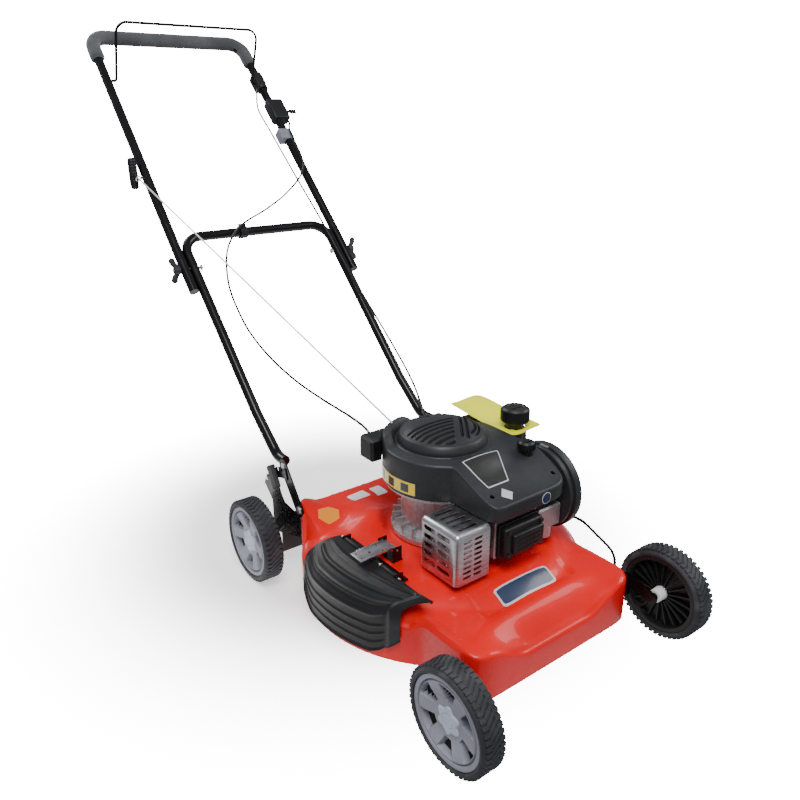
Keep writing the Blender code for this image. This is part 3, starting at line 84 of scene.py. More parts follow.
# %% Floor and light
FLOOR_HALF = 14.0
ON_ENGINE, ON_DECK = (0, -0.2, 0.3), (0, 0.0, 0.4)


def area_light(name, place, aim, size, power):
    """A square soft light at a place, facing a point."""
    data = bpy.data.lights.new(name, "AREA")
    data.size = size
    data.energy = power
    lamp = bpy.data.objects.new(name, data)
    lamp.location = place
    lamp.rotation_euler = (Vector(aim) - Vector(place)).to_track_quat("-Z", "Y").to_euler()
    bpy.context.scene.collection.objects.link(lamp)


floor_mesh = bpy.data.meshes.new("floor")
floor_mesh.from_pydata([(-FLOOR_HALF, -FLOOR_HALF, 0), (FLOOR_HALF, -FLOOR_HALF, 0),
                        (FLOOR_HALF, FLOOR_HALF, 0), (-FLOOR_HALF, FLOOR_HALF, 0)], [], [(0, 1, 2, 3)])
floor = bpy.data.objects.new("floor", floor_mesh)
bpy.context.scene.collection.objects.link(floor)

area_light("key", (-1.3, -1.9, 3.6), ON_ENGINE, 1.8, 150)
area_light("side", (2.6, -1.4, 2.2), ON_ENGINE, 1.6, 45)
area_light("rim", (-0.6, 3.0, 2.8), ON_DECK, 1.6, 70)
world = bpy.data.worlds.new("studio")
world.use_nodes = True
soft = world.node_tree.nodes["Background"]
soft.inputs["Color"].default_value = (0.93, 0.95, 1.0, 1)
soft.inputs["Strength"].default_value = 0.34
# The backdrop behind the mower is white, while the light that falls on it stays soft
white = world.node_tree.nodes.new("ShaderNodeBackground")
white.inputs["Color"].default_value = (1, 1, 1, 1)
white.inputs["Strength"].default_value = 24.0
seen = world.node_tree.nodes.new("ShaderNodeLightPath")
either = world.node_tree.nodes.new("ShaderNodeMixShader")
world.node_tree.links.new(seen.outputs["Is Camera Ray"], either.inputs[0])
world.node_tree.links.new(soft.outputs[0], either.inputs[1])
world.node_tree.links.new(white.outputs[0], either.inputs[2])
world.node_tree.links.new(either.outputs[0], world.node_tree.nodes["World Output"].inputs[0])
bpy.context.scene.world = world
print("lights", [lamp.name for lamp in bpy.data.lights])

# %% [markdown]
# ## Writing materials as sums
# A material is a small sum over noise. The class below holds one number of a
# node tree, and Python's own operators add the Math nodes, so a recipe reads
# like a formula.

# %% Numbers in a node tree
class Amount:
    """A number that varies over a surface."""

    def __init__(self, finish, socket):
        self.finish = finish
        self.socket = socket

    def worked(self, operation, first, second):
        return self.finish.node("ShaderNodeMath", {"operation": operation}, {0: first, 1: second})

    def __add__(self, other):
        return self.worked("ADD", self, other)

    __radd__ = __add__

    def __sub__(self, other):
        return self.worked("SUBTRACT", self, other)

    def __rsub__(self, other):
        return self.worked("SUBTRACT", other, self)

    def __mul__(self, other):
        return self.worked("MULTIPLY", self, other)

    __rmul__ = __mul__

    def above(self, low, high):
        """0 below low, 1 above high, smooth between."""
        return self.finish.node("ShaderNodeMapRange", {"interpolation_type": "SMOOTHSTEP"},
                                {"Value": self, "From Min": low, "From Max": high})


class Finish:
    """One material: a Principled shader and the nodes that feed it."""

    def __init__(self, name, metallic=0.0, coat=0.0, coat_rough=0.06, specular=0.5, sheen=0.0):
        self.material = bpy.data.materials.new(name)
        self.material.use_nodes = True
        self.tree = self.material.node_tree
        self.shader = self.tree.nodes["Principled BSDF"]
        self.shader.inputs["Metallic"].default_value = metallic
        self.shader.inputs["Coat Weight"].default_value = coat
        self.shader.inputs["Coat Roughness"].default_value = coat_rough
        self.shader.inputs["Specular IOR Level"].default_value = specular
        self.shader.inputs["Sheen Weight"].default_value = sheen

    def node(self, kind, settings=None, values=None, output=0):
        """Add a node: its settings first, then the values or links of its sockets."""
        made = self.tree.nodes.new(kind)
        for key, value in (settings or {}).items():
            setattr(made, key, value)
        for key, value in (values or {}).items():
            if isinstance(value, Amount):
                self.tree.links.new(value.socket, made.inputs[key])
            else:
                made.inputs[key].default_value = value
        return Amount(self, made.outputs[output])

    def places(self):
        """Object coordinates, so a pattern is in metres and stays on the piece."""
        return self.node("ShaderNodeTexCoord", output="Object")

    def noise(self, scale, detail=3.0, stretch=None):
        place = self.places()
        if stretch:
            place = self.node("ShaderNodeMapping", {}, {"Vector": place, "Scale": stretch})
        return self.node("ShaderNodeTexNoise", {}, {"Vector": place, "Scale": scale, "Detail": detail})

    def mixed(self, factor, first, second):
        """A colour between two colours."""
        made = self.tree.nodes.new("ShaderNodeMix")
        made.data_type = "RGBA"
        self.tree.links.new(factor.socket, made.inputs["Factor"])
        for key, colour in ((6, first), (7, second)):
            if isinstance(colour, Amount):
                self.tree.links.new(colour.socket, made.inputs[key])
            else:
                made.inputs[key].default_value = (*colour, 1)
        return Amount(self, made.outputs[2])

    def colour(self, value):
        self.feed("Base Color", value)

    def feed(self, socket, value):
        self.tree.links.new(value.socket, self.shader.inputs[socket])

    def relief(self, height, distance, strength=1.0):
        """Small bumps from a height, in metres."""
        self.feed("Normal", self.node("ShaderNodeBump", {}, {"Height": height, "Distance": distance,
                                                             "Strength": strength}))


# %% [markdown]
# ## The finishes
# Sprayed enamel has a faint orange peel under a clear gloss. Moulded plastic is
# spark-eroded to a fine grain and is a little duller where hands and dust reach.
# Foam is a field of open cells, rubber is matte with paler dust, and bare metal
# is zinc plate with soft clouds or cast aluminium with a coarse skin.

# %% Paints
def enamel(name, colour, rough, peel, coat):
    """Sprayed paint: soft clouds, dust and orange peel under a clear coat."""
    finish = Finish(name, coat=coat, coat_rough=0.04, specular=0.22)
    clouds = finish.noise(6.0, 2.0)
    deep = tuple(c * 0.82 for c in colour)
    finish.colour(finish.mixed(clouds.above(0.3, 0.7), deep, colour))
    dust = finish.noise(38.0, 5.0).above(0.45, 0.75)
    finish.feed("Roughness", rough + 0.12 * dust)
    finish.relief(finish.noise(420.0, 1.0), peel, 0.35)
    return finish.material


RED_PAINT = enamel("red_enamel", (0.80, 0.0012, 0.0016), 0.32, 0.00012, 0.28)
BLACK_PAINT = enamel("black_enamel", (0.0035, 0.0035, 0.0040), 0.26, 0.00008, 0.25)


# %% Moulded plastics
def moulded(name, colour, rough):
    """Moulded plastic: a fine spark-eroded grain, paler in clouds where it is handled."""
    finish = Finish(name, specular=0.38)
    clouds = finish.noise(11.0, 4.0).above(0.35, 0.7)
    pale = tuple(min(c * 1.25 + 0.004, 1) for c in colour)
    finish.colour(finish.mixed(clouds, colour, pale))
    finish.feed("Roughness", rough + 0.14 * finish.noise(60.0, 4.0))
    finish.relief(finish.noise(900.0, 2.0), 0.00012, 0.6)
    return finish.material


BLACK_PLASTIC = moulded("black_moulding", (0.0055, 0.0055, 0.0062), 0.36)
CHARCOAL_PLASTIC = moulded("charcoal_moulding", (0.0150, 0.0170, 0.0185), 0.38)
GREY_PLASTIC = moulded("grey_moulding", (0.22, 0.225, 0.27), 0.42)
DARK_PLASTIC = moulded("dark_grey_moulding", (0.022, 0.023, 0.026), 0.42)
PALE_PLASTIC = moulded("pale_grey_moulding", (0.40, 0.44, 0.52), 0.38)
WHITE_PLASTIC = moulded("white_moulding", (0.72, 0.72, 0.70), 0.45)
# Near-black painted shade, not a plastic of the mower: it goes on the floors of the dome's slots and the wheels'
# pockets in place of the shade that falls inside them.
PAINTED_SHADE = moulded("painted_shade", (0.004, 0.004, 0.004), 0.8)


# %% Rubber, foam and rope
def rubber(name):
    """Matte rubber with paler dust."""
    finish = Finish(name, specular=0.3)
    dust = finish.noise(24.0, 6.0).above(0.42, 0.72)
    finish.colour(finish.mixed(dust, (0.026, 0.028, 0.032), (0.062, 0.065, 0.072)))
    finish.feed("Roughness", 0.62 + 0.2 * dust)
    finish.relief(finish.noise(700.0, 3.0), 0.0002, 0.5)
    return finish.material


def foam_cells(name):
    """Open-celled foam: dark pores between paler walls."""
    finish = Finish(name, specular=0.2, sheen=0.35)
    cells = finish.node("ShaderNodeTexVoronoi", {}, {"Vector": finish.places(), "Scale": 760.0})
    clouds = finish.noise(14.0, 4.0)
    pores = cells.above(0.15, 0.6)
    shade = clouds.above(0.35, 0.7)
    body = finish.mixed(shade, (0.060, 0.064, 0.068), (0.105, 0.110, 0.116))
    finish.colour(finish.mixed(pores, (0.030, 0.032, 0.034), body))
    finish.feed("Roughness", 0.78 + 0.16 * clouds)
    finish.relief(cells + 0.3 * clouds, 0.0005, 0.7)
    return finish.material


def braid(name):
    """Pale fibre rope."""
    finish = Finish(name, specular=0.2, sheen=0.3)
    fibre = finish.noise(1500.0, 3.0)
    finish.colour(finish.mixed(fibre.above(0.3, 0.7), (0.50, 0.50, 0.48), (0.86, 0.86, 0.84)))
    finish.feed("Roughness", 0.75 + 0.15 * fibre)
    finish.relief(fibre, 0.0002, 0.6)
    return finish.material


RUBBER = rubber("tyre_rubber")
FOAM = foam_cells("grip_foam")
ROPE = braid("starter_cord")


# %% Bare metals
def plated(name, colour, rough, scale=30.0, stretch=None):
    """Bright plate or brushed sheet; stretch draws the clouds out along the brushing."""
    finish = Finish(name, metallic=1.0)
    clouds = finish.noise(scale, 5.0, stretch)
    dull = tuple(c * 0.72 for c in colour)
    finish.colour(finish.mixed(clouds.above(0.3, 0.7), dull, colour))
    finish.feed("Roughness", rough + 0.22 * clouds)
    finish.relief(finish.noise(320.0, 4.0, stretch), 0.00005, 0.5)
    return finish.material


def cast_skin(name):
    """Sand-rough cast aluminium with darker stains."""
    finish = Finish(name, metallic=1.0)
    skin = finish.noise(260.0, 5.0)
    stain = finish.noise(16.0, 4.0).above(0.4, 0.75)
    finish.colour(finish.mixed(stain, (0.56, 0.56, 0.57), (0.34, 0.34, 0.35)))
    finish.feed("Roughness", 0.42 + 0.25 * skin)
    finish.relief(skin, 0.0006, 0.6)
    return finish.material


ZINC = plated("zinc_plate", (0.74, 0.74, 0.76), 0.18)
BRUSHED = plated("brushed_steel", (0.66, 0.66, 0.68), 0.22, 40.0, (1, 1, 14))
CAST = cast_skin("cast_aluminium")


# %% Printed labels
def label(name, colour):
    """Printed film with a thin gloss, worn a little."""
    finish = Finish(name, coat=0.5, coat_rough=0.15)
    wear = finish.noise(70.0, 5.0).above(0.55, 0.8)
    worn = tuple(c * 0.85 + 0.02 for c in colour)
    finish.colour(finish.mixed(wear, colour, worn))
    finish.feed("Roughness", 0.35 + 0.15 * wear)
    return finish.material


ORANGE_LABEL = label("orange_label", (0.86, 0.27, 0.01))
YELLOW_LABEL = label("yellow_label", (0.92, 0.66, 0.01))
WHITE_LABEL = label("white_label", (0.80, 0.80, 0.80))
BLUE_LABEL = label("blue_label", (0.010, 0.022, 0.070))
SILVER_LABEL = label("silver_label", (0.52, 0.53, 0.55))
TAG_YELLOW = label("tag_yellow", (0.93, 0.93, 0.004))
BLACK_LABEL = label("black_label", (0.010, 0.010, 0.010))


# %% Floor sheet
def floor_sheet(name, solid_to, gone_at):
    """White paper that thins out to the white backdrop away from the mower."""
    finish = Finish(name, specular=0.1)
    grain = finish.noise(60.0, 2.0)
    finish.colour(finish.mixed(grain.above(0.3, 0.7), (0.88, 0.88, 0.88), (0.92, 0.92, 0.92)))
    finish.feed("Roughness", 0.6 + 0.1 * grain)
    away = finish.node("ShaderNodeVectorMath", {"operation": "LENGTH"}, {0: finish.places()}, output=1)
    finish.feed("Alpha", 1.0 - away.above(solid_to, gone_at))
    finish.shader.inputs["Emission Color"].default_value = (1, 1, 1, 1)
    finish.shader.inputs["Emission Strength"].default_value = 0.75
    return finish.material


floor.data.materials.append(floor_sheet("pale_floor", 0.30, 1.05))
print("materials", len(bpy.data.materials))

# %% [markdown]
# ## Fixed places
# Lengths that several pieces share are written once. Places are taken from the
# frame's boxes wherever a box gives them.

# %% Places from the frame
RECORD = frame["record"]
JOINT_AT = {j["name"]: Vector(j["pos_m"]) for j in RECORD["behaviour"]["joints"] if j.get("pos_m")}
CRANK_Y = JOINT_AT["crank_spin"].y
AXLES = {end: JOINT_AT[f"roll_{end}_left"] for end in ("front", "rear")}
FOLD = JOINT_AT["handle_fold"]
BAIL_PIVOT = JOINT_AT["bail_pivot"]
UP = (BAIL_PIVOT - FOLD).normalized()
OUT = Vector((0, -UP.z, UP.y))
BOLT_UP = 0.437
FOOT = FOLD - UP * BOLT_UP
BAIL_UP = BOLT_UP + (BAIL_PIVOT - FOLD).length
HANDLE_LENGTH = BAIL_UP + 0.145
TUBE = 0.011
LOWER_HALF = 0.193
UPPER_HALF = 0.2153
UPPER_HALF_TOP = 0.2063
WHEEL_RADIUS = 0.089
TAU = 2 * math.pi


def on_handle(x, up, out=0.0):
    """A point beside the handle: across, along the slope, and off it."""
    return Vector((x, 0, 0)) + FOOT + UP * up + OUT * out


def at_crank(x, v, z):
    """A point measured from the crankshaft's line."""
    return Vector((x, CRANK_Y + v, z))


def upper_half(up):
    """Centre plane to the axis of an upper leg at this height."""
    share = (up - BOLT_UP - 0.05) / (HANDLE_LENGTH - BOLT_UP - 0.05)
    return UPPER_HALF + (UPPER_HALF_TOP - UPPER_HALF) * share


print("handle slope", round(math.degrees(math.atan2(UP.z, UP.y)), 1), "degrees")

# %% [markdown]
# ## Making a piece
# Every shape ends in the same few lines: a mesh at the world's origin, its
# material, smooth shading that breaks at real edges, the body that it rides on
# and the nodes that it stands for.

# %% Piece helpers
def step(value, low, high):
    """0 below low, 1 above high, smooth between."""
    t = min(max((value - low) / (high - low), 0.0), 1.0)
    return t * t * (3 - 2 * t)


def object_of(name, mesh):
    obj = bpy.data.objects.new(name, mesh)
    bpy.context.scene.collection.objects.link(obj)
    return obj


def plain_mesh(obj):
    """The mesh that the object's modifiers make, with the modifiers gone."""
    bpy.context.view_layer.update()
    mesh = bpy.data.meshes.new_from_object(obj.evaluated_get(bpy.context.evaluated_depsgraph_get()))
    obj.modifiers.clear()
    obj.data = mesh
    return obj


def keep(obj, body, finishes=(), stands_for=(), crease=38):
    """Finish a piece: materials, shading, body and the nodes it replaces."""
    if finishes:
        obj.data.materials.clear()
        for finish in finishes:
            obj.data.materials.append(finish)
    obj.data.shade_smooth()
    obj.data.set_sharp_from_angle(angle=math.radians(crease))
    if body:
        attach(obj, body)
    for node in stands_for:
        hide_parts(node)
    print(obj.name, len(obj.data.polygons), "faces")
    return obj


def mesh_from(name, verts, faces, marks=None):
    """An object from points and faces, facing outwards; marks give each face a material number."""
    mesh = bpy.data.meshes.new(name)
    mesh.from_pydata([tuple(v) for v in verts], [], faces)
    if marks:
        mesh.polygons.foreach_set("material_index", marks)
    bm = bmesh.new()
    bm.from_mesh(mesh)
    bmesh.ops.remove_doubles(bm, verts=bm.verts, dist=1e-6)
    bmesh.ops.recalc_face_normals(bm, faces=bm.faces)
    bm.to_mesh(mesh)
    bm.free()
    return object_of(name, mesh)


def rings_object(name, rings, closed=True, caps=(True, True), marks=None):
    """Skin a row of rings of points; each cap is a fan of its ring."""
    count = len(rings[0])
    verts = [p for ring in rings for p in ring]
    faces, numbers = [], []
    span = count if closed else count - 1
    for row in range(len(rings) - 1):
        for i in range(span):
            a, b = row * count + i, row * count + (i + 1) % count
            faces.append((a, b, b + count, a + count))
            numbers.append(marks(row, i) if marks else 0)
    for wanted, row in zip(caps, (0, len(rings) - 1)):
        if wanted:
            ring = rings[row]
            verts.append(sum((Vector(p) for p in ring), Vector()) / count)
            for i in range(span):
                faces.append((row * count + i, row * count + (i + 1) % count, len(verts) - 1))
                numbers.append(marks(row, i) if marks else 0)
    return mesh_from(name, verts, faces, numbers if marks else None)


def joined(name, objects):
    """Put several finished meshes into one object, keeping their materials."""
    whole = bmesh.new()
    finishes = []
    for obj in objects:
        shift = []
        for mat in obj.data.materials:
            if mat not in finishes:
                finishes.append(mat)
            shift.append(finishes.index(mat))
        part = bmesh.new()
        part.from_mesh(obj.data)
        part.transform(obj.matrix_world)
        for face in part.faces:
            face.material_index = shift[face.material_index] if shift else 0
        mesh = bpy.data.meshes.new("part")
        part.to_mesh(mesh)
        part.free()
        whole.from_mesh(mesh)
        bpy.data.meshes.remove(mesh)
        bpy.data.objects.remove(obj)
    mesh = bpy.data.meshes.new(name)
    whole.to_mesh(mesh)
    whole.free()
    for mat in finishes:
        mesh.materials.append(mat)
    return object_of(name, mesh)


# %% Boxes, turned shapes and cuts
def block(name, low, high, bevel=0.002, segments=3, matrix=None):
    """A box with rounded edges between two corners."""
    bm = bmesh.new()
    bmesh.ops.create_cube(bm, size=1)
    low, high = Vector(low), Vector(high)
    for vert in bm.verts:
        vert.co = Vector([(low[i] + high[i]) / 2 + vert.co[i] * (high[i] - low[i]) for i in range(3)])
    if bevel:
        bmesh.ops.bevel(bm, geom=bm.edges, offset=bevel, segments=segments, profile=0.5, affect="EDGES")
    if matrix:
        bm.transform(matrix)
    mesh = bpy.data.meshes.new(name)
    bm.to_mesh(mesh)
    bm.free()
    return object_of(name, mesh)


def lathe(name, profile, sides, place=(0, 0, 0), axis=(0, 0, 1), hollow=False):
    """Turn a profile of (radius, height) round an axis; a hollow one closes on itself round a bore."""
    if hollow:
        profile = [*profile, profile[0]]
    turn = Matrix.Translation(place) @ Vector(axis).to_track_quat("Z", "Y").to_matrix().to_4x4()
    rings = [[turn @ Vector((r * math.cos(TAU * i / sides), r * math.sin(TAU * i / sides), z))
              for i in range(sides)] for r, z in profile]
    caps = (not hollow and profile[0][0] > 0, not hollow and profile[-1][0] > 0)
    return rings_object(name, rings, caps=caps)


def slope_box(name, low, high, bevel=0.002):
    """A box whose corners are (across, up the handle, off it)."""
    matrix = Matrix(((1, 0, 0, 0), (0, UP.y, OUT.y, FOOT.y), (0, UP.z, OUT.z, FOOT.z), (0, 0, 0, 1)))
    return block(name, low, high, bevel, 3, matrix)


def cut(obj, *tools):
    """Cut solids out of a piece and remove them."""
    for tool in tools:
        mod = obj.modifiers.new("cut", "BOOLEAN")
        mod.operation = "DIFFERENCE"
        mod.object = tool
        mod.solver = "EXACT"
    plain_mesh(obj)
    for tool in tools:
        bpy.data.objects.remove(tool)
    return obj


def rounded(profile, radius, steps=4):
    """Round the inner corners of an open run of 2-D points."""
    path = bent([Vector((r, z, 0)) for r, z in profile], radius, steps)
    return [(p.x, p.y) for p in path]


def bent(points, radius, steps=10):
    """A path with each inner corner turned into an arc."""
    points = [Vector(p) for p in points]
    path = [points[0]]
    for before, corner, after in zip(points, points[1:], points[2:]):
        a, b = (before - corner).normalized(), (after - corner).normalized()
        half = a.angle(b) / 2
        if half > math.pi / 2 - 0.01:
            path.append(corner)
            continue
        reach = min(radius / math.tan(half), 0.49 * min((before - corner).length, (after - corner).length))
        r = reach * math.tan(half)
        centre = corner + (a + b).normalized() * (r / math.sin(half))
        start, end = corner + a * reach - centre, corner + b * reach - centre
        whole = start.angle(end)
        for i in range(steps + 1):
            t = i / steps
            arm = start * math.sin((1 - t) * whole) + end * math.sin(t * whole)
            path.append(centre + arm / math.sin(whole))
    path.append(points[-1])
    return path


def even(path, spacing):
    """The same path with points at even spacing."""
    out, carry = [path[0].copy()], 0.0
    for a, b in zip(path, path[1:]):
        span = (b - a).length
        at = spacing - carry
        while at < span:
            out.append(a.lerp(b, at / span))
            at += spacing
        carry = span - (at - spacing)
    if (path[-1] - out[-1]).length < spacing * 0.4:
        out.pop()
    out.append(path[-1].copy())
    return out


def smooth_route(points, per=8):
    """Points on a smooth curve through the route's own points."""
    points = [Vector(p) for p in points]
    ends = [2 * points[0] - points[1]] + points + [2 * points[-1] - points[-2]]
    path = []
    for a, b, c, d in zip(ends, ends[1:], ends[2:], ends[3:]):
        for i in range(per):
            t = i / per
            path.append(0.5 * (2 * b + (c - a) * t + (2 * a - 5 * b + 4 * c - d) * t * t
                               + (3 * b - a - 3 * c + d) * t ** 3))
    path.append(points[-1])
    return path


# %% [markdown]
# ## Tubes that follow a path
# Handle tubes, the bail wire, shafts and cables are all one shape swept along a
# line. One node tree does it: the line becomes a curve, a circle is swept along
# it, and the ends are filled. Radius and sides are the tree's inputs.

# %% Node tree: tube along a path
def new_tree(name, inputs):
    """A node tree with a geometry in and out, and named inputs for its sizes and its material."""
    tree = bpy.data.node_groups.new(name, "GeometryNodeTree")
    tree.interface.new_socket("Geometry", in_out="INPUT", socket_type="NodeSocketGeometry")
    for title, (kind, default) in inputs.items():
        socket = tree.interface.new_socket(title, in_out="INPUT", socket_type="NodeSocket" + kind)
        socket.default_value = default
    tree.interface.new_socket("Material", in_out="INPUT", socket_type="NodeSocketMaterial")
    tree.interface.new_socket("Geometry", in_out="OUTPUT", socket_type="NodeSocketGeometry")
    return tree, tree.nodes.new("NodeGroupInput"), tree.nodes.new("NodeGroupOutput")


def add(tree, kind, values=None, settings=None):
    """A geometry node with its settings, then its values or links."""
    made = tree.nodes.new(kind)
    for key, value in (settings or {}).items():
        setattr(made, key, value)
    for key, value in (values or {}).items():
        if isinstance(value, bpy.types.NodeSocket):
            tree.links.new(value, made.inputs[key])
        else:
            made.inputs[key].default_value = value
    return made


def worked(tree, operation, first, second):
    """The result of one Math node."""
    return add(tree, "ShaderNodeMath", {0: first, 1: second}, {"operation": operation}).outputs[0]


def end_tree(tree, geometry, given, out):
    """Close a tree: real meshes only, in the given material."""
    real = add(tree, "GeometryNodeRealizeInstances", {0: geometry})
    painted = add(tree, "GeometryNodeSetMaterial",
                  {"Geometry": real.outputs[0], "Material": given.outputs["Material"]})
    tree.links.new(painted.outputs[0], out.inputs[0])


def tube_tree():
    """A circle swept along the object's edges, with filled ends."""
    tree, given, out = new_tree("tube_along_a_path", {"Radius": ("Float", 0.01), "Sides": ("Int", 24)})
    line = add(tree, "GeometryNodeMeshToCurve", {"Mesh": given.outputs["Geometry"]})
    ring = add(tree, "GeometryNodeCurvePrimitiveCircle",
               {"Resolution": given.outputs["Sides"], "Radius": given.outputs["Radius"]})
    swept = add(tree, "GeometryNodeCurveToMesh",
                {"Curve": line.outputs[0], "Profile Curve": ring.outputs[0], "Fill Caps": True})
    end_tree(tree, swept.outputs[0], given, out)
    return tree


TUBE_TREE = tube_tree()


def run_tree(obj, tree, **values):
    """Give an object a tree with its inputs set by identifier, and keep the mesh it makes."""
    mod = obj.modifiers.new("tree", "NODES")
    mod.node_group = tree
    for item in tree.interface.items_tree:
        if item.in_out == "INPUT" and item.name in values:
            mod[item.identifier] = values[item.name]
    return plain_mesh(obj)


def swept_tube(name, path, radius, finish, sides=24):
    """A round bar along a path, made by the tube tree."""
    mesh = bpy.data.meshes.new(name)
    mesh.from_pydata([tuple(p) for p in path], [(i, i + 1) for i in range(len(path) - 1)], [])
    obj = run_tree(object_of(name, mesh), TUBE_TREE, Radius=radius, Sides=sides, Material=finish)
    bm = bmesh.new()
    bm.from_mesh(obj.data)
    bmesh.ops.remove_doubles(bm, verts=bm.verts, dist=1e-6)
    bmesh.ops.recalc_face_normals(bm, faces=bm.faces)
    bm.to_mesh(obj.data)
    bm.free()
    return obj


# %% [markdown]
# ## Small parts set round a ring or at points
# Tread blocks, rim ribs and cap ribs repeat round an axis. Bolts stand at points
# and face where their surface faces. Both are instances, made real at the end.

# %% Node tree: blocks round a ring
def ring_tree():
    """Boxes round the Z axis: Count of them at Radius, each turned by Skew and shifted by Phase."""
    tree, given, out = new_tree("blocks_round_a_ring", {
        "Count": ("Int", 24), "Radius": ("Float", 0.05), "Height": ("Float", 0.0),
        "Size": ("Vector", (0.01, 0.01, 0.01)), "Skew": ("Float", 0.0), "Phase": ("Float", 0.0)})
    number = add(tree, "GeometryNodeInputIndex")
    pitch = worked(tree, "DIVIDE", TAU, given.outputs["Count"])
    shifted = worked(tree, "ADD", number.outputs[0], given.outputs["Phase"])
    turn = add(tree, "ShaderNodeCombineXYZ", {"Z": worked(tree, "MULTIPLY", shifted, pitch)})
    arm = add(tree, "ShaderNodeCombineXYZ", {"X": given.outputs["Radius"], "Z": given.outputs["Height"]})
    place = add(tree, "ShaderNodeVectorRotate", {"Vector": arm.outputs[0], "Rotation": turn.outputs[0]},
                {"rotation_type": "EULER_XYZ"})
    points = add(tree, "GeometryNodePoints", {"Count": given.outputs["Count"], "Position": place.outputs[0]})
    cube = add(tree, "GeometryNodeMeshCube", {"Size": given.outputs["Size"]})
    skew = add(tree, "ShaderNodeCombineXYZ", {"X": given.outputs["Skew"]})
    skewed = add(tree, "GeometryNodeTransform", {"Geometry": cube.outputs[0], "Rotation": skew.outputs[0]})
    blocks = add(tree, "GeometryNodeInstanceOnPoints",
                 {"Points": points.outputs[0], "Instance": skewed.outputs[0], "Rotation": turn.outputs[0]})
    end_tree(tree, blocks.outputs[0], given, out)
    return tree


RING_TREE = ring_tree()


def ring_of_blocks(name, finish, place, axis, **sizes):
    """Blocks round an axis through a place."""
    mesh = bpy.data.meshes.new(name)
    mesh.from_pydata([(0, 0, 0)], [], [])
    obj = run_tree(object_of(name, mesh), RING_TREE, Material=finish, **sizes)
    turn = Vector(axis).to_track_quat("Z", "Y").to_matrix().to_4x4()
    obj.data.transform(Matrix.Translation(place) @ turn)
    return obj


# %% Node tree: bolts at points
def bolt_tree():
    """A hexagon head on a washer at each point, facing the point's aim."""
    tree, given, out = new_tree("bolts_at_points", {"Head": ("Float", 0.006), "Tall": ("Float", 0.004)})
    head = add(tree, "GeometryNodeMeshCylinder",
               {"Vertices": 6, "Radius": given.outputs["Head"], "Depth": given.outputs["Tall"]})
    wide = worked(tree, "MULTIPLY", given.outputs["Head"], 1.45)
    washer = add(tree, "GeometryNodeMeshCylinder", {"Vertices": 24, "Radius": wide, "Depth": 0.0016})
    lift = add(tree, "ShaderNodeCombineXYZ", {"Z": worked(tree, "MULTIPLY", given.outputs["Tall"], 0.5)})
    raised = add(tree, "GeometryNodeTransform", {"Geometry": head.outputs[0], "Translation": lift.outputs[0]})
    both = add(tree, "GeometryNodeJoinGeometry")
    tree.links.new(raised.outputs[0], both.inputs[0])
    tree.links.new(washer.outputs[0], both.inputs[0])
    aim = add(tree, "GeometryNodeInputNamedAttribute", {"Name": "aim"}, {"data_type": "FLOAT_VECTOR"})
    turn = add(tree, "FunctionNodeAlignRotationToVector", {"Vector": aim.outputs[0]}, {"axis": "Z"})
    points = add(tree, "GeometryNodeMeshToPoints", {"Mesh": given.outputs["Geometry"]})
    bolts = add(tree, "GeometryNodeInstanceOnPoints",
                {"Points": points.outputs[0], "Instance": both.outputs[0], "Rotation": turn.outputs[0]})
    end_tree(tree, bolts.outputs[0], given, out)
    return tree


BOLT_TREE = bolt_tree()


def bolts(name, body, places, head, tall):
    """Bolts at (place, aim) pairs on one body."""
    mesh = bpy.data.meshes.new(name)
    mesh.from_pydata([tuple(p) for p, _ in places], [], [])
    aim = mesh.attributes.new("aim", "FLOAT_VECTOR", "POINT")
    aim.data.foreach_set("vector", [c for _, a in places for c in a])
    obj = run_tree(object_of(name, mesh), BOLT_TREE, Head=head, Tall=tall, Material=ZINC)
    return keep(obj, body)


print("trees", [tree.name for tree in bpy.data.node_groups])

# %% [markdown]
# ## The pressed deck
# The deck is one sheet: a round tunnel over the blade, a nose in front with a
# dipped crease, a raised rear that carries the handle, and a skirt. Its height is
# a rule of the place on the plan, so it is made as rings round the crankshaft.
# The wall is then given its thickness and the discharge mouth is cut.

# %% The deck's rule
DECK_RADIUS = 0.276
SHOULDER = 0.185
DECK_TOP, SHOULDER_FOOT = 0.165, 0.100
FRONT_REACH, FRONT_HALF = 0.321, 0.2005
REAR_REACH, REAR_HALF = 0.223, 0.205
REAR_BACK_TOP, REAR_LEDGE = 0.180, 0.137
PAD_TOP, PAD_FLANK, NOSE_LOW, NOSE_RISE = 0.142, 0.128, 0.085, 0.048
FIELD_DEEP, LUG_TALL, SWELL_TALL = 0.0030, 0.012, 0.024
SWELL_AT, SWELL_REACH = (-0.098, 0.090), 0.085
TUNNEL_BEND = 0.006
SKIRT_LOW = 0.047
ROLL = 0.008


def deck_reach(angle):
    """Crankshaft to the deck's outline in one direction: the larger of a circle and two boxes."""
    c, s = math.cos(angle), math.sin(angle)
    half, reach = (REAR_HALF, REAR_REACH) if s > 0 else (FRONT_HALF, FRONT_REACH)
    square = ((abs(c) / half) ** 14 + (abs(s) / reach) ** 14) ** (-1 / 14)
    return (DECK_RADIUS ** 80 + square ** 80) ** (1 / 80)


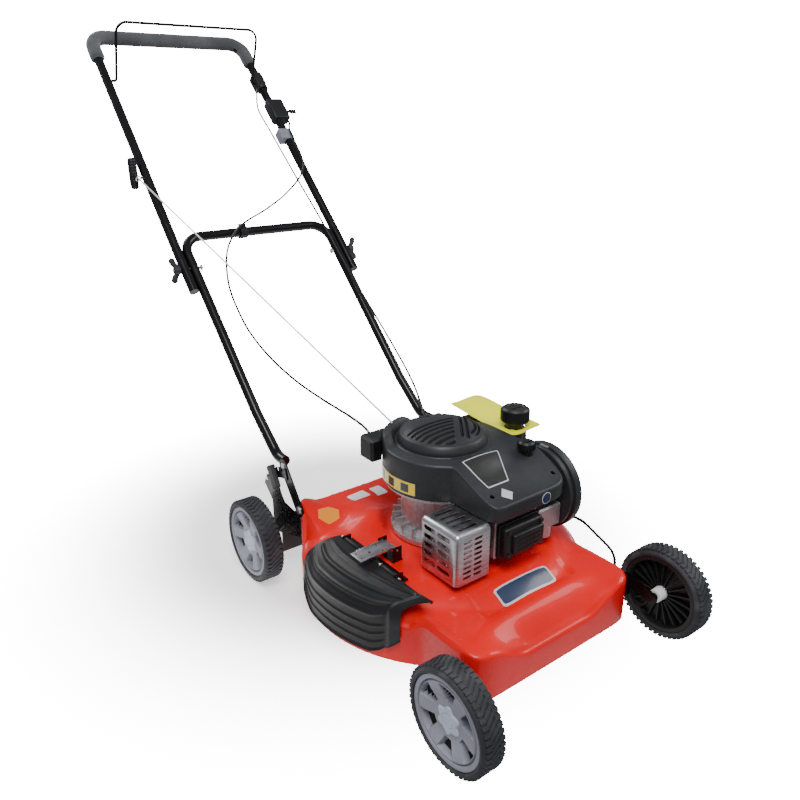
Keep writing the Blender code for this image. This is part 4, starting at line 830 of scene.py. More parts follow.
def nose_height(x, v, tunnel):
    """Front half: a pad with a dipped nose and a shallow field, which the tunnel rises out of."""
    back = v + FRONT_REACH
    crease = NOSE_LOW + NOSE_RISE * step(abs(x), 0.06, 0.17)
    pad = crease + (PAD_TOP - crease) * step(back, -0.02, 0.06)
    along = step(back, 0.066, 0.070) * (1 - step(back, 0.139, 0.143))
    field = FIELD_DEEP * along * (1 - step(abs(x), 0.105, 0.110))
    low = PAD_FLANK + (pad - PAD_FLANK) * step(FRONT_HALF - abs(x), -0.02, 0.02)
    front = low + (pad - low) * (1 - step(back, 0.02, 0.05))
    if abs(x) >= FRONT_HALF + 0.004:
        return tunnel - field
    soft = max(TUNNEL_BEND - abs(front - tunnel), 0) ** 2 / (4 * TUNNEL_BEND)
    return max(front, tunnel) + soft - field


def deck_height(x, v):
    """Height of the sheet's outer face above the ground."""
    r = math.hypot(x, v)
    t = min(max((r - SHOULDER) / (DECK_RADIUS - SHOULDER), 0), 1)
    height = SHOULDER_FOOT + (DECK_TOP - SHOULDER_FOOT) * math.sqrt(max(1 - t * t, 0))
    if v < 0:
        return nose_height(x, v, height)
    lug = LUG_TALL * step(abs(x), 0.15, 0.185) * step(v, 0.16, 0.20)
    inside = 1 - step(abs(x), REAR_HALF, REAR_HALF + 0.006)
    height += (REAR_BACK_TOP + lug - height) * step(v, 0.105, 0.165) * inside
    swell = 1 - step(math.hypot(x - SWELL_AT[0], v - SWELL_AT[1]), 0.0, SWELL_REACH)
    height += SWELL_TALL * swell * step(r, 0.100, 0.125)
    drop = step(v, REAR_REACH - 0.0105, REAR_REACH - 0.0045) * (1 - step(abs(x), 0.178, 0.184))
    return height + (REAR_LEDGE - height) * drop


# %% Build the deck skin
SHEET = 0.002
SHAFT_HOLE = 0.045
AXLE_BORE, AXLE_HIGH = 0.0068, 0.105


def thicken(skin, wall, outwards):
    """Give a skin its wall on the inner side."""
    solid = skin.modifiers.new("wall", "SOLIDIFY")
    solid.thickness = wall
    solid.offset = -1 if outwards else 1
    return plain_mesh(skin)


def deck_skin():
    """The pressed sheet with its thickness, the axle's bore and the discharge mouth."""
    around, across, roll_steps, skirt_steps = 320, 64, 6, 5
    rings = [[] for _ in range(across + roll_steps + skirt_steps + 1)]
    for i in range(around):
        angle = TAU * i / around
        out = deck_reach(angle)
        c, s = math.cos(angle), math.sin(angle)
        edge = deck_height((out - ROLL) * c, (out - ROLL) * s)
        last = deck_height(out * 0.999 * c, out * 0.999 * s)
        for k in range(across + 1):
            r = SHAFT_HOLE + (out - ROLL - SHAFT_HOLE) * k / across
            rings[k].append(at_crank(r * c, r * s, deck_height(r * c, r * s)))
        for k in range(1, roll_steps + 1):
            turn = math.pi / 2 * k / roll_steps
            r = out - ROLL + ROLL * math.sin(turn)
            fall = min(edge, max(last, edge - 0.004)) - ROLL * (1 - math.cos(turn))
            rings[across + k].append(at_crank(r * c, r * s, fall))
        top = rings[across + roll_steps][-1].z
        for k in range(1, skirt_steps + 1):
            z = top + (SKIRT_LOW - top) * k / skirt_steps
            rings[across + roll_steps + k].append(at_crank(out * c, out * s, z))
    skin = rings_object("deck_skin", rings, caps=(False, False))
    thicken(skin, SHEET, skin.data.polygons[0].normal.z > 0)
    front_y = AXLES["front"].y + 0.056
    bore = lathe("bore", [(AXLE_BORE, -0.3), (AXLE_BORE, 0.3)], 24, (0, front_y, AXLE_HIGH), (1, 0, 0))
    mouth = block("mouth", at_crank(-0.31, -0.125, SKIRT_LOW + 0.018), at_crank(-0.202, 0.07, 0.19), 0)
    cut(skin, mouth, bore)
    return keep(skin, "mower", [RED_PAINT], ["deck_shell"], 50)


deck_skin()

# %% [markdown]
# ## Labels on the deck
# The labels are thin printed sheets that follow the metal, so each is a fine grid
# laid on the deck's rule a hair above it. They are blank.

# %% Labels
LABEL_THICK = 0.0004


def sheet_on(name, centre, outline_reach, height, finish, turn=0.0, lift=0.0005):
    """A thin sheet laid on a surface: outline_reach(angle) is its edge from the centre."""
    rings, around = 14, 96
    verts = []
    for k in range(rings + 1):
        ring = []
        for i in range(around):
            angle = TAU * i / around
            r = outline_reach(angle) * max(k / rings, 0.001)
            x = centre[0] + r * math.cos(angle + turn)
            v = centre[1] + r * math.sin(angle + turn)
            ring.append(at_crank(x, v, height(x, v) + lift))
        verts.append(ring)
    obj = rings_object(name, verts, caps=(True, False))
    film = obj.modifiers.new("sheet", "SOLIDIFY")
    film.thickness = LABEL_THICK
    film.offset = 0
    plain_mesh(obj)
    return keep(obj, "mower", [finish])


def oblong(half_x, half_v, corner=12):
    """Edge of a rectangle with round corners."""
    def reach(angle):
        return ((abs(math.cos(angle)) / half_x) ** corner
                + (abs(math.sin(angle)) / half_v) ** corner) ** (-1 / corner)
    return reach


def polygon(radius, sides):
    """Edge of a regular polygon."""
    def reach(angle):
        local = (angle % (TAU / sides)) - math.pi / sides
        return radius * math.cos(math.pi / sides) / math.cos(local)
    return reach


BADGE_LIFT, FIELD_LIFT = 0.0006, 0.0011
NOSE_BADGE_AT = (0.0, -0.233)
sheet_on("nose_badge", NOSE_BADGE_AT, oblong(0.066, 0.017), deck_height, SILVER_LABEL, lift=BADGE_LIFT)
sheet_on("nose_badge_field", NOSE_BADGE_AT, oblong(0.062, 0.0135), deck_height, BLUE_LABEL, lift=FIELD_LIFT)
sheet_on("hexagon_label", (-0.166, 0.150), polygon(0.024, 6), deck_height, ORANGE_LABEL)
sheet_on("white_label_inner", (-0.030, 0.168), oblong(0.013, 0.017), deck_height, WHITE_LABEL)
sheet_on("white_label_outer", (-0.078, 0.172), oblong(0.022, 0.014), deck_height, WHITE_LABEL, 0.1)

# %% [markdown]
# ## The discharge cover
# A flexible moulded chute lies over the deck's shoulder and is ribbed in rings to
# hold its shape. The front edge has a broad raised rim. The same rule as the
# frame's solid gives its surface, and the ribs ride on it.

# %% Discharge cover
HINGE = JOINT_AT["cover_hinge"]
COVER_EDGE = 0.284 - 0.0016
COVER_FROM, COVER_TO = math.radians(160), math.radians(227)


def cover_point(angle, share, lift):
    """Outer face of the cover, raised by lift away from the deck."""
    c, s = math.cos(angle), math.sin(angle)
    start = -HINGE.x / max(-c, 0.2)
    turn = 0.55
    if share < turn:
        t = share / turn
        r = start + (COVER_EDGE - 0.004 - start) * math.sin(t * math.pi / 2)
        z = 0.118 + (HINGE.z + 0.003 - 0.118) * math.cos(t * math.pi / 2) ** 0.8
        slope = t
    else:
        t = (share - turn) / (1 - turn)
        r = COVER_EDGE - 0.004 * (1 - t)
        z = 0.118 + (SKIRT_LOW + 0.012 - 0.118) * t
        slope = 1.0
    r = min(r + lift * math.sin(slope * math.pi / 2), 0.2837 / max(-c, 0.5))
    z += lift * math.cos(slope * math.pi / 2)
    return at_crank(r * c, r * s, z)


def discharge_cover():
    columns, rows = 130, 110
    rings = []
    for i in range(columns + 1):
        u = i / columns
        angle = COVER_FROM + (COVER_TO - COVER_FROM) * u
        short = 1 - 0.28 * max(abs(2 * u - 1) - 0.55, 0) ** 1.5 / 0.45 ** 1.5
        slant = math.radians(11) * u
        ring = []
        for j in range(rows + 1):
            share = short * j / rows
            rib = max(math.cos(TAU * (j / rows) * 8.0), 0.0) ** 2 * 0.0022
            rib *= step(j / rows, 0.05, 0.12) * (1 - step(u, 0.86, 0.90)) * step(u, 0.02, 0.06)
            rim = 0.0055 * step(u, 0.895, 0.93) * step(j / rows, 0.0, 0.06)
            edge = 0.0012 * (1 - step(1 - j / rows, 0.0, 0.03))
            ring.append(cover_point(angle - slant * step(share, 0.1, 0.42), share, rib + rim + edge - 0.0022))
        rings.append(ring)
    skin = rings_object("cover_skin", rings, closed=False, caps=(False, False))
    wall = skin.modifiers.new("wall", "SOLIDIFY")
    wall.thickness = 0.0022
    middle = skin.data.polygons[len(skin.data.polygons) // 2]
    wall.offset = -1 if middle.normal.x < 0 else 1
    plain_mesh(skin)
    barrels = [lathe(f"barrel_{i}", rounded([(0.0028, 0), (0.005, 0), (0.005, span), (0.0028, span)],
                                            0.0006, 2), 32,
                     (HINGE.x, CRANK_Y + v, HINGE.z), (0, 1, 0), True)
               for i, (v, span) in enumerate(((-0.105, 0.042), (-0.058, 0.062), (0.009, 0.043)))]
    for barrel in barrels:
        barrel.data.materials.append(BLACK_PLASTIC)
    skin.data.materials.append(BLACK_PLASTIC)
    whole = joined("discharge_chute", [skin, *barrels])
    return keep(whole, "cover", [BLACK_PLASTIC], ["discharge_cover"], 50)


discharge_cover()

# %% Hinge spring and latch
def spring_path(start, end, radius, turns, per=14):
    """Centre line of a coil along a line."""
    start, end = Vector(start), Vector(end)
    along = end - start
    side = along.cross(Vector((0, 0, 1))).normalized()
    up = side.cross(along).normalized()
    count = turns * per
    return [start + along * i / count
            + side * radius * math.cos(TAU * i / per)
            + up * radius * math.sin(TAU * i / per)
            for i in range(count + 1)]


def latch_plate():
    """A folded plate with five holes, a low ridge on both edges and its pin."""
    low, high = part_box("cover_latch")
    z = high[2] - 0.0008
    x0, x1 = low[0], high[0]
    v0, v1 = low[1] + 0.0082, high[1] - 0.0082
    sheet = block("latch_sheet", (x0, v0, z - 0.0008), (x1, v1, z + 0.0008), 0.0006, 2)
    holes = [lathe(f"hole_{i}", [(r, -0.01), (r, 0.01)], 20, (x0 + dx, (v0 + v1) / 2 + dy, z))
             for i, (r, dx, dy) in enumerate(((0.0022, 0.008, 0.009), (0.0022, 0.008, -0.009),
                                              (0.0026, 0.030, 0.0),
                                              (0.0018, 0.052, 0.010), (0.0018, 0.052, -0.010)))]
    cut(sheet, *holes)
    ridge = block("latch_ridge", (x0 + 0.012, v0 - 0.0004, z - 0.0006),
                  (x1 - 0.006, v0 + 0.0014, z + 0.0032), 0.0007, 2)
    ridge_2 = block("latch_ridge_2", (x0 + 0.012, v1 - 0.0014, z - 0.0006),
                    (x1 - 0.006, v1 + 0.0004, z + 0.0032), 0.0007, 2)
    pivot = JOINT_AT["latch_hinge"]
    span = low[1] - high[1]
    pin = lathe("latch_pin", rounded([(0, span), (0.002, span), (0.002, 0), (0, 0)], 0.0004, 2),
                20, (pivot.x, high[1], pivot.z), (0, 1, 0))
    for obj in (sheet, ridge, ridge_2, pin):
        obj.data.materials.append(BRUSHED)
    return keep(joined("latch_spring", [sheet, ridge, ridge_2, pin]), "latch", [BRUSHED],
                ["cover_latch"])


latch_plate()
coil = swept_tube("cover_spring", spring_path((HINGE.x, CRANK_Y - 0.0625, HINGE.z),
                                              (HINGE.x, CRANK_Y - 0.0585, HINGE.z),
                                              0.0042, 4), 0.0005, ZINC, 8)
keep(coil, "mower")

# %% [markdown]
# ## The engine's shroud
# The cowl is one thin moulding: a round collar about the starter, a flat nose
# that falls to the front, and straight walls. It is a rule on the plan, like the
# deck. The starter dome above is turned. Its air slots are long ones on the
# front left and upright and curved ones on the right.

# %% Cowl rule
COWL_RADIUS, COWL_HOLE, COWL_TOP, COWL_LOW = 0.114, 0.080, 0.352, 0.275
COWL_FRONT, COWL_LEFT, COWL_RIGHT = 0.205, 0.140, 0.058


def cowl_reach(angle):
    """Crankshaft to the cowl's side in one direction."""
    c, s = math.cos(angle), math.sin(angle)
    across = COWL_LEFT if c > 0 else COWL_RIGHT
    along = COWL_FRONT if s < 0 else 0.04
    square = ((abs(c) / across) ** 9 + (abs(s) / along) ** 9) ** (-1 / 9)
    if c > 0 and s > -0.62:
        square = min(square, 0.115 / max(-s, 0.2))
    return (COWL_RADIUS ** 24 + square ** 24) ** (1 / 24)


def cowl_height(x, v):
    """Height of the cowl's top above the ground."""
    r = math.hypot(x, v)
    fall = 0.040 * step(-v, 0.09, COWL_FRONT + 0.02)
    spread = 0.012 * step(r, COWL_HOLE, COWL_RADIUS + 0.03)
    turn = math.degrees(math.atan2(v, x))
    collar = step(r, 0.088, 0.100) * step(turn, 78, 100) * (1 - step(turn, 145, 168))
    return COWL_TOP - fall - spread + 0.018 * collar


GROOVE_REACH, GROOVE_HALF, GROOVE_DEEP = 0.0905, 0.0016, 0.0016


def cowl_detail(x, v):
    """The cowl's height with a narrow groove round the starter."""
    off = abs(math.hypot(x, v) - GROOVE_REACH)
    return cowl_height(x, v) - GROOVE_DEEP * max(1 - off / GROOVE_HALF, 0.0)


# %% Build the cowl
def cowl_skin():
    around, across, roll, steps, wall_steps = 300, 44, 0.0065, 6, 6
    rings = [[] for _ in range(across + 1 + steps + wall_steps)]
    for i in range(around):
        angle = TAU * (i + 0.5) / around
        reach = cowl_reach(angle)
        c, s = math.cos(angle), math.sin(angle)
        for k in range(across + 1):
            r = COWL_HOLE + (reach - roll - COWL_HOLE) * (k / across)
            rings[k].append(at_crank(r * c, r * s, cowl_detail(r * c, r * s)))
        edge = rings[across][-1].z
        for k in range(1, steps + 1):
            turn = math.pi / 2 * k / steps
            r = reach - roll + roll * math.sin(turn)
            rings[across + k].append(at_crank(r * c, r * s, edge - roll * (1 - math.cos(turn))))
        for k in range(1, wall_steps + 1):
            z = edge - roll + (COWL_LOW - edge + roll) * k / wall_steps
            lip = 0.0012 if k == wall_steps else 0.0
            rings[across + steps + k].append(at_crank((reach - lip) * c, (reach - lip) * s, z))
    skin = rings_object("cowl_skin", rings, caps=(False, False))
    wall = skin.modifiers.new("wall", "SOLIDIFY")
    wall.thickness = 0.0025
    wall.offset = -1 if skin.data.polygons[0].normal.z > 0 else 1
    plain_mesh(skin)
    oil = JOINT_AT["oil_cap_turn"]
    filler = lathe("filler", [(0.0126, -0.06), (0.0126, 0.06)], 32, (oil.x, oil.y, 0.33))
    screws = [lathe(f"screw_hole_{i}", [(0.0045, -0.003), (0.0045, 0.05)], 24,
                    at_crank(x, v, cowl_height(x, v)))
              for i, (x, v) in enumerate(((-0.036, -0.176), (0.118, -0.176)))]
    cut(skin, filler, *screws)
    return keep(skin, "mower", [CHARCOAL_PLASTIC], ["cowl"], 45)


cowl_skin()


def four_sided(corners, centre, share):
    """Edge of a flat plate with straight sides, from its middle."""
    spots = [((x - centre[0]) * share, (v - centre[1]) * share) for x, v in corners]

    def reach(angle):
        c, s = math.cos(angle), math.sin(angle)
        near = 1.0
        for (ax, av), (bx, bv) in zip(spots, spots[1:] + spots[:1]):
            ex, ev = bx - ax, bv - av
            cross = c * ev - s * ex
            if abs(cross) > 1e-9:
                far = (ax * ev - av * ex) / cross
                if far > 0:
                    near = min(near, far)
        return near
    return reach


PLATE_CORNERS = [(-0.037, -0.097), (0.052, -0.097), (0.020, -0.160), (-0.030, -0.160)]
PLATE_MIDDLE = (0.001, -0.126)
sheet_on("cowl_plate", PLATE_MIDDLE, four_sided(PLATE_CORNERS, PLATE_MIDDLE, 1.0), cowl_height, SILVER_LABEL,
         lift=0.0006)
sheet_on("cowl_plate_field", PLATE_MIDDLE, four_sided(PLATE_CORNERS, PLATE_MIDDLE, 0.93), cowl_height,
         BLACK_LABEL,
         lift=0.0011)
sheet_on("cowl_diamond", (-0.006, -0.182), polygon(0.0135, 4), cowl_height, SILVER_LABEL, 0.0, lift=0.0006)
for name, reach, deep, colour in (("cowl_round_badge", 0.0112, 0.0006, SILVER_LABEL),
                                  ("cowl_round_field", 0.0096, 0.0011, BLUE_LABEL)):
    keep(lathe(name, [(0, 0), (reach, 0), (reach, deep), (0, deep)], 48,
               at_crank(0.071, -COWL_FRONT, 0.2875), (0, -1, 0)),
         "mower", [colour])


# %% Step round the front of the collar
def collar_step():
    """A low rounded ridge on the cowl, through three corners given on the plan."""
    corners = [Vector((-0.052, -0.086, 0)), Vector((0.0, -0.1005, 0)), Vector((0.052, -0.086, 0))]
    wide, proud = 0.003, 0.0006
    line = even(bent(corners, 0.006, 6), 0.003)
    path = [at_crank(p.x, p.y, cowl_height(p.x, p.y) + proud - wide / 2) for p in line]
    obj = swept_tube("collar_step", path, wide / 2, CHARCOAL_PLASTIC, 12)
    return keep(obj, "mower")


collar_step()


# %% Starter dome
DOME_FLAT, DOME_BEND, DOME_RIM = 0.054, 0.076, 0.086
SLOT_DEEP = 0.0075


def dome_height(r):
    """Height of the dome over its seat: a dished top, a rounded shoulder and a steep rim."""
    if r < DOME_FLAT:
        return 0.033 - 0.006 * (r / DOME_FLAT) ** 2.2
    if r < DOME_BEND:
        return 0.027 - 0.010 * ((r - DOME_FLAT) / (DOME_BEND - DOME_FLAT)) ** 1.4
    return 0.017 - 0.013 * min((r - DOME_BEND) / (DOME_RIM - DOME_BEND), 1) ** 2.0


def slot_depth(r, angle):
    """Long slots on the front left, upright and curved ones on the right, a few short ones behind."""
    x, y = r * math.cos(angle), r * math.sin(angle)
    right, ahead = 0.793 * x - 0.609 * y, 0.609 * x + 0.793 * y
    inside = 1 - step(r, 0.0715, 0.0740)
    deep = 0.0
    row = y + 0.09 * x
    if right < 0.022 and -0.072 < row < 0.0135:
        near = abs(((row + 0.072) / 0.0122) % 1 - 0.5) * 0.0122
        deep = (1 - step(near, 0.0024, 0.0036)) * (1 - step(right, 0.0185, 0.0215))
    for line in (0.0345, 0.0450):
        deep = max(deep, (1 - step(abs(right - line), 0.0018, 0.0030)) * (1 - step(abs(ahead + 0.004),
                                                                                   0.044, 0.047)))
    for line in (0.0620, 0.0695):
        if right > 0.014:
            deep = max(deep, (1 - step(abs(r - line), 0.0014, 0.0024)) * step(right, 0.014, 0.018)
                       * step(ahead, -0.036, -0.032))
    if -0.058 < right < -0.022 and 0.030 < ahead < 0.066:
        near = abs(((ahead - 0.030) / 0.012) % 1 - 0.5) * 0.012
        deep = max(deep, (1 - step(near, 0.0022, 0.0034)) * step(right, -0.058, -0.054)
                   * (1 - step(right, -0.026, -0.022)))
    return deep * inside


def starter_dome():
    around, across = 420, 96
    low = COWL_TOP + 0.0003
    rim = 0.086
    rings, depth = [], []
    for k in range(across + 1):
        r = 0.0006 + (rim - 0.0006) * k / across
        row, deep = [], []
        for i in range(around):
            angle = TAU * i / around
            hole = slot_depth(r, angle)
            deep.append(hole)
            z = dome_height(r) - SLOT_DEEP * hole
            row.append(at_crank(r * math.cos(angle), r * math.sin(angle), low + z))
        rings.append(row)
        depth.append(deep)
    rings.append([at_crank(rim * math.cos(TAU * i / around), rim * math.sin(TAU * i / around), low)
                  for i in range(around)])
    rings.append([at_crank(0.082 * math.cos(TAU * i / around), 0.082 * math.sin(TAU * i / around), low)
                  for i in range(around)])
    depth += [[0.0] * around] * 2

    # Faces deep in a slot get the near-black painted shade instead of the cowl's plastic.
    def mark(row, i):
        return 1 if min(depth[row][i], depth[min(row + 1, across)][i],
                        depth[row][(i + 1) % around]) > 0.75 else 0
    dome = rings_object("starter_dome", rings, caps=(True, False), marks=mark)
    return keep(dome, "mower", [CHARCOAL_PLASTIC, PAINTED_SHADE], ["starter_screen"], 35)


starter_dome()

# %% [markdown]
# ## Rocker cover, silencer guard, air filter and caps
# The rocker cover is a flanged box with a raised, ribbed front. The guard is
# folded sheet with punched slots, so it is a rounded shell with boxes cut
# through it. The filter and the caps are turned, and their finger ribs are
# blocks set round a ring.

# %% Rocker cover
def rocker_cover():
    """The black cover on the head: a flanged box with a raised, ribbed front."""
    low, high = (Vector(corner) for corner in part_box("rocker_cover"))
    wide, tall = high.x - low.x, high.z - low.z
    flange = block("cover_flange", (low.x, high.y - 0.008, low.z), high, 0.0025, 3)
    body = block("cover_body", (low.x + 0.003, low.y + 0.009, low.z + 0.003),
                 (high.x - 0.003, high.y - 0.004, high.z - 0.003),
                 0.0060, 4)
    face = block("cover_face", (low.x + 0.18 * wide, low.y + 0.002, low.z + 0.16 * tall),
                 (high.x - 0.07 * wide, low.y + 0.014, high.z - 0.24 * tall), 0.0035, 3)
    ribs = [block("cover_rib", (low.x + 0.28 * wide, low.y + 0.0004, low.z + share * tall),
                  (high.x - 0.16 * wide, low.y + 0.006, low.z + share * tall + 0.0028), 0.0009, 2)
            for share in (0.26, 0.39, 0.52, 0.64)]
    screws = [lathe("cover_screw", rounded([(0, 0), (0.0042, 0), (0.0042, 0.004), (0, 0.004)], 0.0008, 2), 24,
                    (x, low.y + 0.0095, z), (0, -1, 0))
              for x in (low.x + 0.010, high.x - 0.010) for z in (low.z + 0.010, high.z - 0.010)]
    for obj in (flange, body, face, *ribs, *screws):
        obj.data.materials.append(BLACK_PLASTIC)
    whole = joined("rocker_box", [flange, body, face, *ribs, *screws])
    return keep(whole, "mower", (), ["rocker_cover"])


rocker_cover()


# %% Silencer guard
def guard_shell():
    low, high = (Vector(corner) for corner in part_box("muffler_guard"))
    past, wall = 0.03, 0.0014
    shell = block("silencer_guard", (low.x, low.y, low.z - past), (high.x + past, high.y, high.z), 0.0105, 6)
    inside = block("inside", (low.x + wall, low.y + wall, low.z - 2 * past),
                   (high.x + 2 * past, high.y - wall, high.z - wall), 0.0091, 6)
    side = block("side", (high.x, low.y - past, low.z - 3 * past),
                 (high.x + 3 * past, high.y + past, high.z + past), 0)
    under = block("under", (low.x - past, low.y - past, low.z - 3 * past),
                  (high.x + 3 * past, high.y + past, low.z), 0)
    cut(shell, inside, side, under)
    tools = []
    for row in range(5):
        z = low.z + 0.013 + 0.0165 * row
        for near, far in ((0.018, 0.050), (0.056, 0.014)):
            tools.append(block("slot", (low.x - 0.01, low.y + near, z),
                               (low.x + 0.01, high.y - far, z + 0.0088), 0.0032, 3))
    for row in range(8):
        z = low.z + 0.010 + 0.0100 * row
        for x in (0.016, 0.040):
            tools.append(block("slot", (low.x + x, low.y - 0.01, z),
                               (low.x + x + 0.019, low.y + 0.01, z + 0.0050),
                               0.0022, 3))
    for i in range(5):
        y = low.y + 0.014 + 0.0155 * i
        tools.append(block("slot", (low.x + 0.018, y, high.z - 0.01),
                           (high.x - 0.014, y + 0.0062, high.z + 0.01), 0.0028, 3))
    cut(shell, *tools)
    return keep(shell, "mower", [BRUSHED], ["muffler_guard"], 40)


guard_shell()


# %% Air filter
def air_filter():
    low, high = (Vector(corner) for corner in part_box("air_filter_cover"))
    place = (low.x, (low.y + high.y) / 2, (low.z + high.z) / 2)
    r = (high.y - low.y) / 2
    deep = high.x - low.x
    body = lathe("filter_disc", rounded([
        (0, 0), (r - 0.004, 0), (r - 0.004, 0.0105), (r - 0.0065, 0.0105), (r - 0.0065, 0.0125), (r, 0.0125),
        (r, deep - 0.002), (r - 0.010, deep), (r - 0.022, deep), (r - 0.026, deep - 0.003),
        (0, deep - 0.003)],
        0.0014, 3), 160, place, (1, 0, 0))
    body.data.materials.append(CHARCOAL_PLASTIC)
    front = Vector(place) + Vector((deep - 0.0022, 0, 0))
    plate = block("filter_plate", front + Vector((-0.001, -0.026, -0.018)),
                  front + Vector((0.0014, 0.026, 0.018)), 0.0008, 2)
    plate.data.materials.append(WHITE_PLASTIC)
    clip = block("filter_clip", Vector(place) + Vector((0.006, -0.010, r - 0.006)),
                 Vector(place) + Vector((deep - 0.004, 0.010, r - 0.0009)), 0.001, 2)
    clip.data.materials.append(ZINC)
    whole = joined("air_filter", [body, plate, clip])
    return keep(whole, "mower", (), ["air_filter_cover"])


air_filter()


# %% Caps
def ribbed_cap(name, node, body, radius, tall, ribs):
    """A turned cap with finger ribs round it and a bar across its top."""
    at = JOINT_AT[body + "_turn"]
    outline = rounded([(0, 0.0003), (radius - 0.0022, 0.0003), (radius - 0.0014, 0.003),
                       (radius - 0.0014, tall - 0.004), (radius - 0.006, tall), (radius * 0.62, tall),
                       (radius * 0.56, tall - 0.0022), (0, tall - 0.0022)], 0.0012, 3)
    shape = lathe("cap_body", outline, 96, at)
    shape.data.materials.append(BLACK_PLASTIC)
    wings = ring_of_blocks("cap_ribs", BLACK_PLASTIC, at, (0, 0, 1), Count=ribs, Radius=radius - 0.0018,
                           Height=tall * 0.46, Size=(0.0034, 0.0026, tall * 0.72))
    bar = block("cap_bar", at + Vector((-radius * 0.5, -0.003, tall - 0.004)),
                at + Vector((radius * 0.5, 0.003, tall - 0.0004)), 0.001, 2)
    bar.data.materials.append(BLACK_PLASTIC)
    return keep(joined(name, [shape, wings, bar]), body, [BLACK_PLASTIC], [node])


ribbed_cap("tank_cap", "fuel_cap", "fuel_cap", 0.0295, 0.030, 30)
ribbed_cap("dipstick_cap", "oil_cap", "oil_cap", 0.0175, 0.017, 18)


# %% Hang tag
def hang_tag():
    """A stiff yellow card with a hole, held under the tank's cap."""
    at = JOINT_AT["fuel_cap_turn"]
    middle = at + Vector((0.004, 0.062, 0))
    rings = []
    for k in range(15):
        ring = []
        for i in range(96):
            angle = TAU * i / 96
            hole = at + Vector((0.0205 * math.cos(angle), 0.0205 * math.sin(angle), 0))
            reach = oblong(0.045, 0.102, 10)(angle)
            rim = middle + Vector((reach * math.cos(angle), reach * math.sin(angle) * 0.93, 0))
            point = hole.lerp(rim, k / 14)
            away = (point - at).length
            point.z = at.z - 0.0112 + 0.010 * step(away, 0.03, 0.16) + 0.0016 * math.sin(point.x * 70)
            ring.append(point)
        rings.append(ring)
    tag = rings_object("tank_tag", rings, caps=(False, False))
    wall = tag.modifiers.new("card", "SOLIDIFY")
    wall.thickness = 0.0008
    plain_mesh(tag)
    return keep(tag, "mower", [TAG_YELLOW])


hang_tag()

# %% Ribs and fins of the cast block
drum = ring_of_blocks("crankcase_ribs", CAST, (0, CRANK_Y, 0), (0, 0, 1), Count=22, Radius=0.086,
                      Height=0.188,
                      Size=(0.020, 0.0032, 0.020))
keep(drum, "mower")


FIN_FRONT, FIN_PITCH, FIN_THICK = -0.148, 0.0078, 0.0018


def cylinder_fins():
    """Nine cooling fins across the cylinder's front."""
    fins = []
    for i in range(9):
        v = FIN_FRONT + FIN_PITCH * i
        fins.append(block("fin", at_crank(-0.037, v, 0.1865), at_crank(0.077, v + FIN_THICK, 0.2635),
                          0.0008, 1))
    for fin in fins:
        fin.data.materials.append(CAST)
    return keep(joined("cylinder_fins", fins), "mower", [CAST])


cylinder_fins()


def wall_label(name, first, last, low, high, lift, finish):
    """A thin label bent round the cowl's side wall."""
    rings = []
    for k in range(41):
        angle = first + (last - first) * k / 40
        reach = cowl_reach(angle)
        rings.append([at_crank((reach + r) * math.cos(angle), (reach + r) * math.sin(angle), z)
                      for r, z in ((0.0002, low), (lift, low), (lift, high), (0.0002, high))])
    return keep(rings_object(name, rings), "mower", [finish])


wall_label("side_label", math.radians(147), math.radians(206), 0.279, 0.307, 0.0007, BLACK_LABEL)
wall_label("side_label_field", math.radians(148.2), math.radians(204.8), 0.2812, 0.3048, 0.0011, YELLOW_LABEL)
for number, (first, last) in enumerate(((153, 162), (171, 180), (189, 198))):
    wall_label(f"side_label_sign_{number}", math.radians(first), math.radians(last), 0.2850, 0.3010, 0.0014,
               BLACK_LABEL)


# %% [markdown]
# ## Wheels
# A tyre is turned, then blocks are set round it for its tread. The rim is one
# moulding with six broad spokes, deep pockets between them and a lighter star
# cap; its back is a black disc with thin ribs and a white bush.

# %% Wheel parts
W = 0.022
SPOKES = 6


def spoke_face(r, angle):
    """Height of the rim's outer face, and 1 in a pocket between spokes."""
    turn = (angle % (TAU / SPOKES)) - math.pi / SPOKES
    across = abs(math.sin(turn)) * r
    lip = step(r, 0.0655, 0.0670)
    dish = -0.0050 * step(r, 0.0625, 0.0655) * (1 - lip)
    bowl = -0.0060 * (1 - step(r, 0.028, 0.060))
    wide = 0.0115 + 0.10 * (r - 0.03)
    inside = step(across, wide - 0.0015, wide + 0.0010)
    pocket = inside * step(r, 0.033, 0.0345) * (1 - step(r, 0.0605, 0.0620))
    height = W - 0.003 + dish + (bowl if r < 0.0655 else 0)
    return height - 0.012 * pocket, pocket


def star_cap(r, angle):
    """Height of the hub cap: a six-lobed star with a sunk ring."""
    point = 0.5 + 0.5 * math.cos(SPOKES * angle)
    reach = 0.0205 + 0.0065 * point
    rise = 1 - step(r, reach - 0.003, reach)
    ring = -0.0008 * (step(r, 0.0105, 0.0115) - step(r, 0.0125, 0.0135))
    return 0.0030 * rise + ring - 0.0012 * (r / 0.027) ** 2


def wheel_turn(end, side):
    sign = 1 if side == "left" else -1
    centre = AXLES[end] * 1.0
    centre.x = sign * (0.284 - W)
    return Matrix.Translation(centre) @ Matrix.Rotation(sign * math.pi / 2, 4, "Y"), centre, sign


def polar_face(name, radii, around, rule, turn, marks=None):
    """A face given as heights over a disc."""
    angles = [TAU * i / around for i in range(around)]
    rings = [[turn @ Vector((r * math.cos(a), r * math.sin(a), rule(r, a))) for a in angles] for r in radii]
    return rings_object(name, rings, caps=(True, False), marks=marks)


